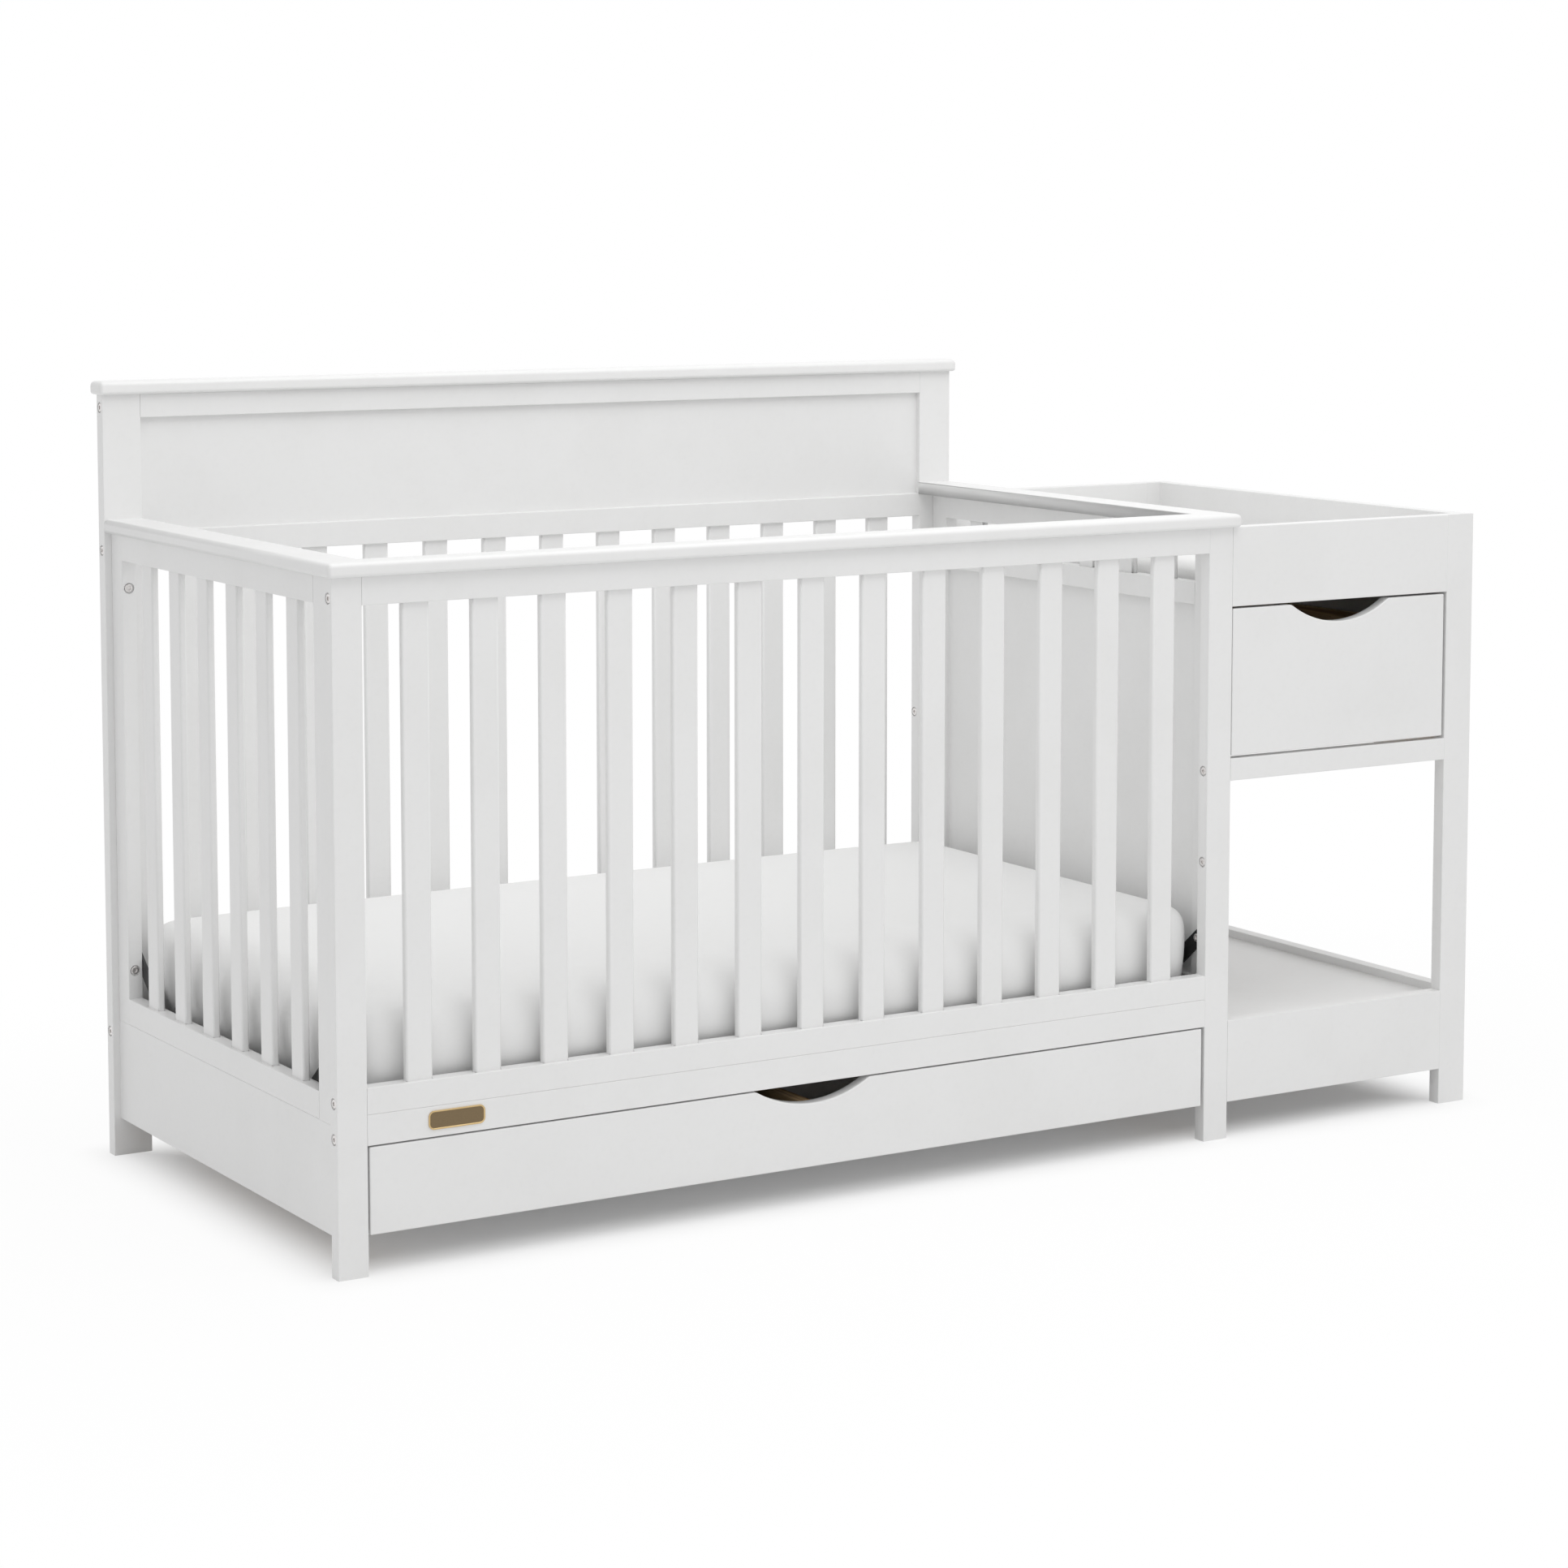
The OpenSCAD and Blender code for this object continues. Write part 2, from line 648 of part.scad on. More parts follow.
module front_lower_rail() {
    color(white) placed() difference() {
        board_x(rail_x, front_y, lower_rail_zz);
        front_rail_bolts(front_bolt_z[2]);
    }
}

// --- Side panels ------------------------------------------------------------------------

module stile_bolt() {
    bolt(stile_w - bolt_bite + stile_bite);
}

module stile_bolt_hole() {
    bolt_hole(stile_w - bolt_bite + stile_bite);
}

module stiles(x) {
    for (y = [[side_y[0], window_y[0]], [window_y[1], side_y[1]]])
        board_z(x, y, [side_apron_top, leg_h]);
}

module stile_bolts_cut(bolts) {
    along_y(bolts[0], window_y[0], bolts[1], -1) stile_bolt_hole();
    along_y(bolts[0], window_y[1], bolts[1], 1) stile_bolt_hole();
}

module strap_bolt_cut(x, facing) {
    for (y = [side_y[0] + strap_bolt_in, side_y[1] - strap_bolt_in])
        translate([x, y, strap_bolt_z]) rotate([0, facing * 90, 0])
            translate([0, 0, -board_t - past])
                cylinder(d = bolt_d + 2 * bolt_gap, h = board_t + 2 * past, $fn = round_fn);
}

module left_cap() {
    color(white) placed() side_cap(left_cap_x, true);
}

module left_top_rail() {
    color(white) placed() difference() {
        board_y(left_x, window_y, top_rail_z);
        mortises_y(left_x[0] + slat_back, [top_rail_z[0] - past, top_rail_z[0] + mortise]);
    }
}

module left_stiles() {
    color(white) placed() difference() {
        stiles(left_x);
        stile_bolts_cut(stile_bolts[0]);
        strap_bolt_cut(left_x[1], 1);
    }
}

module left_slats() {
    color(white) placed() slats_y(left_x[0] + slat_back, [side_bottom_z[1], top_rail_z[0]]);
}

module left_bottom_rail() {
    color(white) placed() difference() {
        board_y(left_x, window_y, side_bottom_z);
        mortises_y(left_x[0] + slat_back, [side_bottom_z[1] - mortise, side_bottom_z[1] + past]);
    }
}

module left_apron() {
    color(white) placed() board_y(left_x, side_y, apron_zz);
}

module right_cap() {
    color(white) placed() side_cap(right_cap_x, false);
}

module right_top_rail() {
    color(white) placed() difference() {
        board_y(right_x, window_y, top_rail_z);
        mortises_y(right_x[0] + slat_back, [top_rail_z[0] - past, top_rail_z[0] + mortise]);
    }
}

// The slot that holds the left edge of the tray's floor
module tray_floor_groove() {
    block([right_x[1] - groove, right_x[1] + past], [side_y[0] - past, side_y[1] + past], tray_floor_z);
}

module right_stiles() {
    color(white) placed() difference() {
        stiles(right_x);
        stile_bolts_cut(stile_bolts[1]);
        strap_bolt_cut(right_x[0], -1);
        tray_floor_groove();
        block(panel_x, [window_y[0] - groove, window_y[1] + groove],
              [side_bottom_z[1] - groove, mid_rail_z[0] + groove]);
    }
}

module right_short_slats() {
    color(white) placed() slats_y(right_x[0] + slat_back, [mid_rail_z[1], top_rail_z[0]]);
}

module right_mid_rail() {
    color(white) placed() difference() {
        board_y(right_x, window_y, mid_rail_z);
        mortises_y(right_x[0] + slat_back, [mid_rail_z[1] - mortise, mid_rail_z[1] + past]);
        tray_floor_groove();
        block(panel_x, window_y, [mid_rail_z[0] - past, mid_rail_z[0] + groove]);
    }
}

module right_panel() {
    color(white) placed()
        block(panel_x, [window_y[0] - groove, window_y[1] + groove],
              [side_bottom_z[1] - groove, mid_rail_z[0] + groove]);
}

module right_bottom_rail() {
    color(white) placed() difference() {
        board_y(right_x, window_y, side_bottom_z);
        block(panel_x, window_y, [side_bottom_z[1] - groove, side_bottom_z[1] + past]);
    }
}

module right_apron() {
    color(white) placed() board_y(right_x, side_y, apron_zz);
}

// --- Changer ----------------------------------------------------------------------------

module changer_front_leg() {
    color(white) placed() difference() {
        board_z(changer_leg_x, front_y, leg_z);
        along_x(changer_leg_x[1], front_bolt_y, wall_bolt_z, -1) bolt_hole(changer_leg_w);
    }
}

module changer_rear_leg() {
    color(white) placed() difference() {
        board_z(changer_leg_x, back_y, leg_z);
        along_x(changer_leg_x[1], back_bolt_y, wall_bolt_z, -1) bolt_hole(changer_leg_w);
    }
}

module tray_front_board() {
    color(white) placed() difference() {
        board_x(bay_x, front_y, tray_board_z);
        along_x(changer_leg_x[1], front_bolt_y, [wall_bolt_z[0]], -1) bolt_hole(changer_leg_w);
    }
}

module tray_side_panel() {
    color(white) placed() difference() {
        board_y(wall_x, side_y, case_zz);
        block([wall_x[0] - past, wall_x[0] + groove], [side_y[0] - past, side_y[1] + past], tray_floor_z);
    }
}

module changer_back_panel() {
    color(white) placed() difference() {
        board_x(back_panel_x, back_y, case_zz);
        along_x(changer_leg_x[1], back_bolt_y, [wall_bolt_z[0], wall_bolt_z[1]], -1) bolt_hole(changer_leg_w);
        along_x(head_rail_x[1], case_bolt_y, case_bolt_z, 1) bolt_hole(head_leg_w);
    }
}

module tray_floor() {
    color(white) placed() block([right_x[1] - groove, wall_x[0] + groove], side_y, tray_floor_z);
}

module changer_front_rail() {
    color(white) placed() difference() {
        board_x(bay_x, front_y, case_rail_z);
        along_x(changer_leg_x[1], front_bolt_y, [wall_bolt_z[1]], -1) bolt_hole(changer_leg_w);
        along_x(rail_x[1], front_bolt_y, case_bolt_z, 1) bolt_hole(leg_w);
    }
}

module shelf_apron() {
    color(white) placed() difference() {
        board_x(bay_x, front_y, shelf_rail_z);
        along_x(changer_leg_x[1], front_bolt_y, [wall_bolt_z[2]], -1) bolt_hole(changer_leg_w);
    }
}

module shelf_side_rail() {
    color(white) placed() board_y(wall_x, side_y, shelf_rail_z);
}

module shelf_back_rail() {
    color(white) placed() difference() {
        board_x(back_panel_x, back_y, shelf_rail_z);
        along_x(changer_leg_x[1], back_bolt_y, [wall_bolt_z[2]], -1) bolt_hole(changer_leg_w);
    }
}

module shelf_board() {
    color(white) placed() block([right_x[1], wall_x[0]], side_y, shelf_z);
}

// --- Cleats -----------------------------------------------------------------------------

// Boards inside the carcass that carry the runners and the shelf
module wood_cleats() {
    under_z = [under_runner_z - cleat_h / 2, under_runner_z + cleat_h / 2];
    case_cleat_z = [changer_runner_z - cleat_h / 2, changer_runner_z + cleat_h / 2];
    shelf_cleat_z = [shelf_z[0] - shelf_cleat, shelf_z[0]];
    color(beech) placed() {
        block(under_cleat_left_x, runner_y(under_box_len), under_z);
        block(under_cleat_right_x, runner_y(under_box_len), under_z);
        block(changer_cleat_left_x, window_y, case_cleat_z);
        block(changer_cleat_right_x, runner_y(changer_box_len), case_cleat_z);
        block([right_x[1], right_x[1] + shelf_cleat], side_y, shelf_cleat_z);
        block([wall_x[0] - shelf_cleat, wall_x[0]], side_y, shelf_cleat_z);
    }
}

function runner_y(len) = [runner_start, front_t + len];

// --- Mattress support -------------------------------------------------------------------

// One length of angle steel along +X from the origin, its flange on top and towards +Y, mitred
// at both ends
module mitred_angle(len) {
    intersection() {
        union() {
            block([0, len], [0, angle_t], [-angle_w, -angle_t - weld_gap]);
            block([0, len], [0, angle_w], [-angle_t, 0]);
        }
        translate([0, 0, -angle_w - past]) linear_extrude(angle_w + 2 * past)
            polygon([[weld_gap, 0], [len - weld_gap, 0], [len - weld_gap - angle_w, angle_w],
                     [weld_gap + angle_w, angle_w]]);
    }
}

// Four lengths of angle steel, flat bars welded under their flanges from front to back, and
// flat bars on top of those from end to end
module mattress_support() {
    flange_z = [support_top - angle_t, support_top];
    cross_z = [flange_z[0] - weld_gap - angle_t, flange_z[0] - weld_gap];
    color(black_steel) placed() {
        translate([support_x[0], support_y[0], support_top]) mitred_angle(span(support_x));
        translate([support_x[1], support_y[1], support_top]) rotate([0, 0, 180])
            mitred_angle(span(support_x));
        difference() {
            union() {
                translate([support_x[1], support_y[0], support_top]) rotate([0, 0, 90])
                    mitred_angle(span(support_y));
                translate([support_x[0], support_y[1], support_top]) rotate([0, 0, -90])
                    mitred_angle(span(support_y));
            }
            for (y = [support_y[0], support_y[1]])
                strap_rivets_cut(y);
        }
        for (x = slat_places(support_x, bar_pitch))
            block([x - bar_w / 2, x + bar_w / 2],
                  [support_y[0] + angle_t + weld_gap, support_y[1] - angle_t - weld_gap], cross_z);
        for (y = slat_places(support_y, span(support_y) / 3))
            block([support_x[0] + angle_w + weld_gap, support_x[1] - angle_w - weld_gap],
                  [y - bar_w / 2, y + bar_w / 2], flange_z);
    }
}

module strap_rivets_cut(y) {
    inward = y < middle(support_y) ? 1 : -1;
    edge = inward > 0 ? side_y[0] : side_y[1];
    translate([support_x[0] - past, edge + inward * strap_foot_in, strap_foot_z]) rotate([0, 90, 0])
        cylinder(d = bolt_d, h = span(support_x) + 2 * past, $fn = round_fn);
}

// One flat strap in a plane of constant X, from the stile's bolt down to the support's edge
module strap(edge, inward) {
    rise = strap_bolt_z - strap_foot_z;
    run = strap_foot_in - strap_bolt_in;
    len = sqrt(rise * rise + run * run);
    translate([0, edge + inward * strap_bolt_in, strap_bolt_z])
        mirror([0, inward > 0 ? 0 : 1, 0]) rotate([-atan2(rise, run), 0, 0])
            rotate([90, 0, 90]) linear_extrude(strap_t) difference() {
                translate([-strap_w / 2, -strap_w / 2]) square([len + strap_w, strap_w]);
                circle(d = bolt_d + 2 * bolt_gap, $fn = round_fn);
                translate([len, 0]) circle(d = bolt_d, $fn = round_fn);
            }
}

module support_straps() {
    color(black_steel) placed()
        for (x = [left_x[1], right_x[0] - strap_t])
            translate([x, 0, 0]) {
                strap(side_y[0], 1);
                strap(side_y[1], -1);
            }
}

// --- Bolts --------------------------------------------------------------------------------

// The bolt that holds a strap to its stile, with its head inside the crib
module strap_bolt() {
    cylinder(d = bolt_head_d, h = bolt_head_h, $fn = round_fn);
    translate([0, 0, -strap_t - board_t]) cylinder(d = bolt_d, h = strap_t + board_t, $fn = round_fn);
}

module frame_bolts() {
    color(zinc) placed() {
        along_x(0, front_bolt_y, front_bolt_z, 1) bolt(leg_w);
        along_x(crib_len, front_bolt_y, front_bolt_z, -1) bolt(leg_w);
        along_x(head_x[0], back_bolt_y, head_bolt_z, 1) bolt(head_leg_w);
        along_x(head_x[1], back_bolt_y, head_bolt_z, -1) bolt(head_leg_w);
        along_x(rail_x[1], front_bolt_y, case_bolt_z, 1) bolt(leg_w);
        along_x(rail_x[1], front_bolt_y, insert_bolt_z, 1) bolt(insert_bolt_grip);
        along_x(head_rail_x[1], case_bolt_y, case_bolt_z, 1) bolt(head_leg_w);
        along_x(changer_leg_x[1], front_bolt_y, wall_bolt_z, -1) bolt(changer_leg_w);
        along_x(changer_leg_x[1], back_bolt_y, wall_bolt_z, -1) bolt(changer_leg_w);
        for (bolts = stile_bolts) {
            along_y(bolts[0], window_y[0], bolts[1], -1) stile_bolt();
            along_y(bolts[0], window_y[1], bolts[1], 1) bolt(stile_w);
        }
        for (y = [side_y[0] + strap_bolt_in, side_y[1] - strap_bolt_in]) {
            translate([left_x[1] + strap_t, y, strap_bolt_z]) rotate([0, 90, 0]) strap_bolt();
            translate([right_x[0] - strap_t, y, strap_bolt_z]) rotate([0, -90, 0]) strap_bolt();
        }
    }
}

// --- Roller runners -------------------------------------------------------------------------
// Each runner is drawn for the left side, with its cleat's face at x = 0 and the middle of the
// channel at z = 0. runner_pair puts it there and mirrors it to the right.

module runner_pair(x, z) {
    translate([x[0], 0, z]) children();
    translate([x[1], 0, z]) mirror([1, 0, 0]) children();
}

// The pin of a roller along X from x0 to x1, with its head at the free end
module pin(x0, x1, y, z) {
    translate([x0, y, z]) rotate([0, 90, 0]) cylinder(r = pin_r, h = x1 - x0, $fn = round_fn);
}

module pin_disc(x, y, z) {
    translate([x[0], y, z]) rotate([0, 90, 0]) cylinder(r = pin_head_r, h = span(x), $fn = round_fn);
}

// The channel that is screwed to the cleat, with a fixed roller at its front end. Its upper
// lip stops behind that roller, so that the drawer's lip can run on it.
module fixed_runner(len) {
    y = runner_y(len);
    flange = [sheet_t + weld_gap, sheet_t + channel_depth];
    roller_x = [roller_out, roller_out + roller_w];
    roller_y = y[0] + roller_end;
    block([0, sheet_t], y, [channel_low - sheet_t, channel_high + sheet_t]);
    block(flange, y, [channel_low - sheet_t, channel_low]);
    block(flange, [y[0] + 2 * roller_end, y[1]], [channel_high, channel_high + sheet_t]);
    pin_disc([sheet_t + weld_gap, roller_x[0] - roller_side], roller_y, front_roller_up);
    pin(sheet_t + weld_gap, roller_x[1] + roller_side + pin_head_t, roller_y, front_roller_up);
    pin_disc([roller_x[1] + roller_side, roller_x[1] + roller_side + pin_head_t], roller_y, front_roller_up);
}

// The angle that is screwed to the drawer's side, with its roller's pin at the rear end
module drawer_runner(len) {
    y = [front_t, front_t + len];
    roller_x = [roller_out, roller_out + roller_w];
    roller_y = y[1] - roller_end;
    web = [runner_gap - sheet_t, runner_gap];
    block(web, y, [-runner_under, lip_under + sheet_t]);
    block([roller_out, web[0] - weld_gap], y, [lip_under, lip_under + sheet_t]);
    pin_disc([roller_x[1] + roller_side, web[0] - weld_gap], roller_y, 0);
    pin(roller_x[0] - roller_side - pin_head_t, web[0] - weld_gap, roller_y, 0);
    pin_disc([roller_x[0] - roller_side - pin_head_t, roller_x[0] - roller_side], roller_y, 0);
}

module roller(y, z) {
    bore = pin_r + pin_gap;
    translate([roller_out, y, z]) rotate([0, 90, 0]) rotate_extrude($fn = round_fn) polygon([
        [bore, 0], [roller_r - roller_chamfer, 0], [roller_r, roller_chamfer],
        [roller_r, roller_w - roller_chamfer], [roller_r - roller_chamfer, roller_w], [bore, roller_w]]);
}

module front_rollers(x, z) {
    color(nylon) placed() runner_pair(x, z) roller(runner_start + roller_end, front_roller_up);
}

module rear_rollers(x, z, len) {
    color(nylon) placed() runner_pair(x, z) roller(front_t + len - roller_end, 0);
}

module fixed_runners() {
    color(zinc) placed() {
        runner_pair(rail_x, under_runner_z) fixed_runner(under_box_len);
        runner_pair(bay_x, changer_runner_z) fixed_runner(changer_box_len);
    }
}

module under_drawer_runners() {
    color(zinc) placed() runner_pair(rail_x, under_runner_z) drawer_runner(under_box_len);
}

module changer_drawer_runners() {
    color(zinc) placed() runner_pair(bay_x, changer_runner_z) drawer_runner(changer_box_len);
}

module under_front_rollers() {
    front_rollers(rail_x, under_runner_z);
}

module under_rear_rollers() {
    rear_rollers(rail_x, under_runner_z, under_box_len);
}

module changer_front_rollers() {
    front_rollers(bay_x, changer_runner_z);
}

module changer_rear_rollers() {
    rear_rollers(bay_x, changer_runner_z, changer_box_len);
}

// --- Drawers ----------------------------------------------------------------------------------

// Outline of a finger scoop w wide and d deep, under a top edge at height 0: one large arc
// between two blends that are tangent to it and to the edge
module scoop_outline(w, d) {
    half = w / 2;
    arc_r = (half * half + d * d) / (2 * d) - scoop_blend;
    share = arc_r / (arc_r + scoop_blend);
    meet = [half * share, -scoop_blend + (1 - share) * (arc_r - d + scoop_blend)];
    difference() {
        union() {
            intersection() {
                translate([0, arc_r - d]) circle(r = arc_r, $fn = 4 * round_fn);
                translate([-meet[0], -d - past]) square([2 * meet[0], meet[1] + d + past]);
            }
            polygon([[-half, past], [-half, 0], [-meet[0], meet[1]], [meet[0], meet[1]], [half, 0],
                     [half, past]]);
        }
        for (side = [-1, 1])
            translate([side * half, -scoop_blend]) circle(r = scoop_blend, $fn = round_fn);
    }
}

// A drawer front with its scoop and the groove for the floor
module drawer_front(x, z, scoop_w, scoop_d, floor_x, floor_z) {
    difference() {
        board_x(x, [0, front_t], z);
        translate([middle(x), front_t + past, z[1]]) rotate([90, 0, 0])
            linear_extrude(front_t + 2 * past) scoop_outline(scoop_w, scoop_d);
        block(floor_x, [front_t - groove, front_t + past], floor_z);
    }
}

// The sides and the back of a drawer's box, grooved for the floor
module drawer_box(x, y, z, floor_x, floor_z) {
    inner = [x[0] + drawer_side_t, x[1] - drawer_side_t];
    difference() {
        union() {
            board_y([x[0], inner[0]], y, z);
            board_y([inner[1], x[1]], y, z);
            board_x(inner, [y[1] - drawer_side_t, y[1]], z);
        }
        block(floor_x, [y[0] - past, y[1] - drawer_side_t + groove], floor_z);
    }
}

function drawer_floor_x(x) = [x[0] + drawer_side_t - groove, x[1] - drawer_side_t + groove];

function drawer_floor_y(y) = [front_t - groove, y[1] - drawer_side_t + groove];

function drawer_floor_z(z) = [z + drawer_floor_up, z + drawer_floor_up + drawer_floor_t];

module under_drawer_front() {
    color(white) placed()
        drawer_front(under_front_x, under_front_z, under_scoop_w, under_scoop_d,
                     drawer_floor_x(under_box_x), drawer_floor_z(under_box_z));
}

module under_drawer_box() {
    color(beech) placed()
        drawer_box(under_box_x, under_box_y, [under_box_z, under_box_z + under_box_h],
                   drawer_floor_x(under_box_x), drawer_floor_z(under_box_z));
}

module under_drawer_floor() {
    color(white) placed()
        block(drawer_floor_x(under_box_x), drawer_floor_y(under_box_y), drawer_floor_z(under_box_z));
}

module under_drawer_divider() {
    floor_top = drawer_floor_z(under_box_z)[1];
    color(beech) placed()
        board_y([middle(under_box_x) - divider_t / 2, middle(under_box_x) + divider_t / 2],
                [front_t, under_box_y[1] - drawer_side_t], [floor_top, floor_top + divider_h]);
}

module changer_drawer_front() {
    color(white) placed()
        drawer_front(changer_front_x, changer_front_z, changer_scoop_w, changer_scoop_d,
                     drawer_floor_x(changer_box_x), drawer_floor_z(changer_box_zz[0]));
}

module changer_drawer_box() {
    color(beech) placed()
        drawer_box(changer_box_x, changer_box_y, changer_box_zz, drawer_floor_x(changer_box_x),
                   drawer_floor_z(changer_box_zz[0]));
}

module changer_drawer_floor() {
    color(white) placed()
        block(drawer_floor_x(changer_box_x), drawer_floor_y(changer_box_y),
              drawer_floor_z(changer_box_zz[0]));
}

// --- Mattress and changing pad ------------------------------------------------------------------

// How many steps a cushion's corners, long sides, short sides, edges and crown take
corner_n = 5;
long_n = 10;
short_n = 6;
edge_n = 5;
crown_n = 4;
// How far its long sides draw in between the corners, and its clearance over what carries it
side_draw = 3;
rest_gap = 0.3;

// Points between two corners, drawn in by depth along the inward normal
function drawn_in(from, to, n, depth, inward) =
    [for (i = [1:n - 1]) from + (to - from) * i / n + inward * depth * sin(180 * i / n)];

// One level of a cushion: a rounded rectangle, inset from size, whose sides are drawn in
function cushion_ring(size, r, inset, draw, z) =
    let (h = [size[0] / 2 - inset, size[1] / 2 - inset],
         q = max(r - inset, r / 4),
         c = [h[0] - q, h[1] - q])
    [for (p = concat(
        quarter(-c[0], -c[1], q, 180, corner_n),
        drawn_in([-c[0], -h[1]], [c[0], -h[1]], long_n, draw, [0, 1]),
        quarter(c[0], -c[1], q, 270, corner_n),
        drawn_in([h[0], -c[1]], [h[0], c[1]], short_n, draw, [-1, 0]),
        quarter(c[0], c[1], q, 0, corner_n),
        drawn_in([c[0], h[1]], [-c[0], h[1]], long_n, draw, [0, -1]),
        quarter(-c[0], c[1], q, 90, corner_n),
        drawn_in([-h[0], c[1]], [-h[0], -c[1]], short_n, draw, [1, 0])))
     [p[0], p[1], z]];

// A cushion on z = 0: flat below, with swelling sides and a crown. edge is how far the sides
// draw in and how high that takes; corner_r rounds its upright corners.
module cushion(size, thick, crown, edge, corner_r) {
    short = min(size[0], size[1]) / 2;
    up = min(edge[1], thick / 2 - 0.5);
    below = [for (i = [0:edge_n]) let (a = 90 * i / edge_n)
                 cushion_ring(size, corner_r, edge[0] * (1 - sin(a)), side_draw, up * (1 - cos(a)))];
    above = [for (i = [0:edge_n]) let (a = 90 * i / edge_n)
                 cushion_ring(size, corner_r, edge[0] * (1 - cos(a)), side_draw, thick - up * (1 - sin(a)))];
    swell = [for (i = [1:crown_n]) let (s = i / (crown_n + 1))
                 cushion_ring(size, corner_r, edge[0] + (short - edge[0]) * s, side_draw * (1 - s),
                              thick + crown * (1 - (1 - s) * (1 - s)))];
    rings = concat(below, above, swell);
    n = len(rings[0]);
    last = len(rings) - 1;
    points = concat([for (ring = rings) each ring], [[0, 0, 0], [0, 0, thick + crown]]);
    sides = [for (k = [0:last - 1], i = [0:n - 1]) let (j = (i + 1) % n, a = k * n, b = a + n)
                 each [[a + i, b + i, b + j], [a + i, b + j, a + j]]];
    ends = [for (i = [0:n - 1]) let (j = (i + 1) % n)
                each [[i, j, (last + 1) * n], [last * n + j, last * n + i, (last + 1) * n + 1]]];
    polyhedron(points = points, faces = concat(sides, ends));
}

module mattress() {
    size = [right_x[0] - left_x[1] - 2 * mattress_gap, span(side_y) - 2 * mattress_gap_y];
    color(soft_white) placed()
        translate([(left_x[1] + right_x[0]) / 2, middle(side_y), support_top + rest_gap])
            cushion(size, mattress_t, mattress_crown, [mattress_edge_in, mattress_edge_up],
                    mattress_corner_r);
}

module changing_pad() {
    range = [right_cap_x[1] + pad_gap, wall_x[0] - pad_gap];
    color(soft_white) placed()
        translate([middle(range), middle(side_y), tray_floor_z[1] + rest_gap]) rotate([0, 0, 90])
            cushion([span(side_y) - 2 * pad_gap_y, span(range)], pad_t, pad_crown,
                    [pad_edge_in, pad_edge_up], pad_corner_r);
}

// --- What is drawn ------------------------------------------------------------------------------

headboard_left_leg();
headboard_right_leg();
headboard_cap();
headboard_top_rail();
headboard_panel();
headboard_mid_rail();
headboard_slats();
headboard_bottom_rail();
front_left_leg();
shared_front_post();
front_cap();
front_top_rail();
front_slats();
front_bottom_rail();
front_lower_rail();
left_cap();
left_top_rail();
left_stiles();
left_slats();
left_bottom_rail();
left_apron();
right_cap();
right_top_rail();
right_stiles();
right_short_slats();
right_mid_rail();
right_panel();
right_bottom_rail();
right_apron();
changer_front_leg();
changer_rear_leg();
tray_front_board();
tray_side_panel();
changer_back_panel();
tray_floor();
changer_front_rail();
shelf_apron();
shelf_side_rail();
shelf_back_rail();
shelf_board();
wood_cleats();
mattress_support();
support_straps();
frame_bolts();
fixed_runners();
under_drawer_front();
under_drawer_box();
under_drawer_floor();
under_drawer_divider();
under_drawer_runners();
changer_drawer_front();
changer_drawer_box();
changer_drawer_floor();
changer_drawer_runners();
under_front_rollers();
under_rear_rollers();
changer_front_rollers();
changer_rear_rollers();
mattress();
changing_pad();
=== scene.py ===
"""Studio picture of a white crib with an attached changer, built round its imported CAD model.

Everything is in metres, in the frame of the CAD: X along the crib towards the changer, Y from the
slatted front to the headboard, Z up. The boards of the CAD keep their shape and get a sprayed
lacquer; caps, slats, drawer fronts and boxes, bolts, rollers, the mattress and the changing pad are
modelled here in finer detail and replace their plain solids.
"""

from __future__ import annotations

import json
import logging
import math
from collections.abc import Callable, Iterator, Sequence
from contextlib import contextmanager
from dataclasses import dataclass, field
from enum import Enum

import bmesh
import bpy
from mathutils import Matrix, Vector

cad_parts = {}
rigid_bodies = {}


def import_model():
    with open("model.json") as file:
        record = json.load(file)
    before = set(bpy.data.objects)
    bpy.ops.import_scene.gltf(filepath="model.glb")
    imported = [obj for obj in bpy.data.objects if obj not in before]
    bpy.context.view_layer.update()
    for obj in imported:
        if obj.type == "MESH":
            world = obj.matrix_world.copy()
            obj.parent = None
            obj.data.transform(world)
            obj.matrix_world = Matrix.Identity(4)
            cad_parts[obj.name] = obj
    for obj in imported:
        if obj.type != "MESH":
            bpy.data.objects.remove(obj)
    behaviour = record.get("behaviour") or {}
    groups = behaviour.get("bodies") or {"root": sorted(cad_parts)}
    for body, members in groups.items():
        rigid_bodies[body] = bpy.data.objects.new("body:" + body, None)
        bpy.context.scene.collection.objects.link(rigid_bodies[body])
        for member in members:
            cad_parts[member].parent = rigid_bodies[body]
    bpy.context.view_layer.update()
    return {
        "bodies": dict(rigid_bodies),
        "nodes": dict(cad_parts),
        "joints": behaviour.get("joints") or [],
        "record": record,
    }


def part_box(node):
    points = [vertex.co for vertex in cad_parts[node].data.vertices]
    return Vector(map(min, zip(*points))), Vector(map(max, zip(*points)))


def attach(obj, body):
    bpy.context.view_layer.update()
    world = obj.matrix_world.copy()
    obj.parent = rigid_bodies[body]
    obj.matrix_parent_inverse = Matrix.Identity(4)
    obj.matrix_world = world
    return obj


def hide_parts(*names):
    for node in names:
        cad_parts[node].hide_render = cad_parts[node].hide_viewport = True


LOG = logging.getLogger("crib")
MM = 0.001
NEAR = 1e-4  # distance within which two places on a piece count as one
TOUCH = 1e-5  # distance within which points lie at one height
WELD = 1e-6  # distance within which points are merged
FACES = 0.9  # a face looks along an axis where its normal's share is over this
SIDEWAYS = 0.1  # and across the axis where the share is under this
WHITE = (1.0, 1.0, 1.0, 1.0)
Point = tuple[float, float, float]
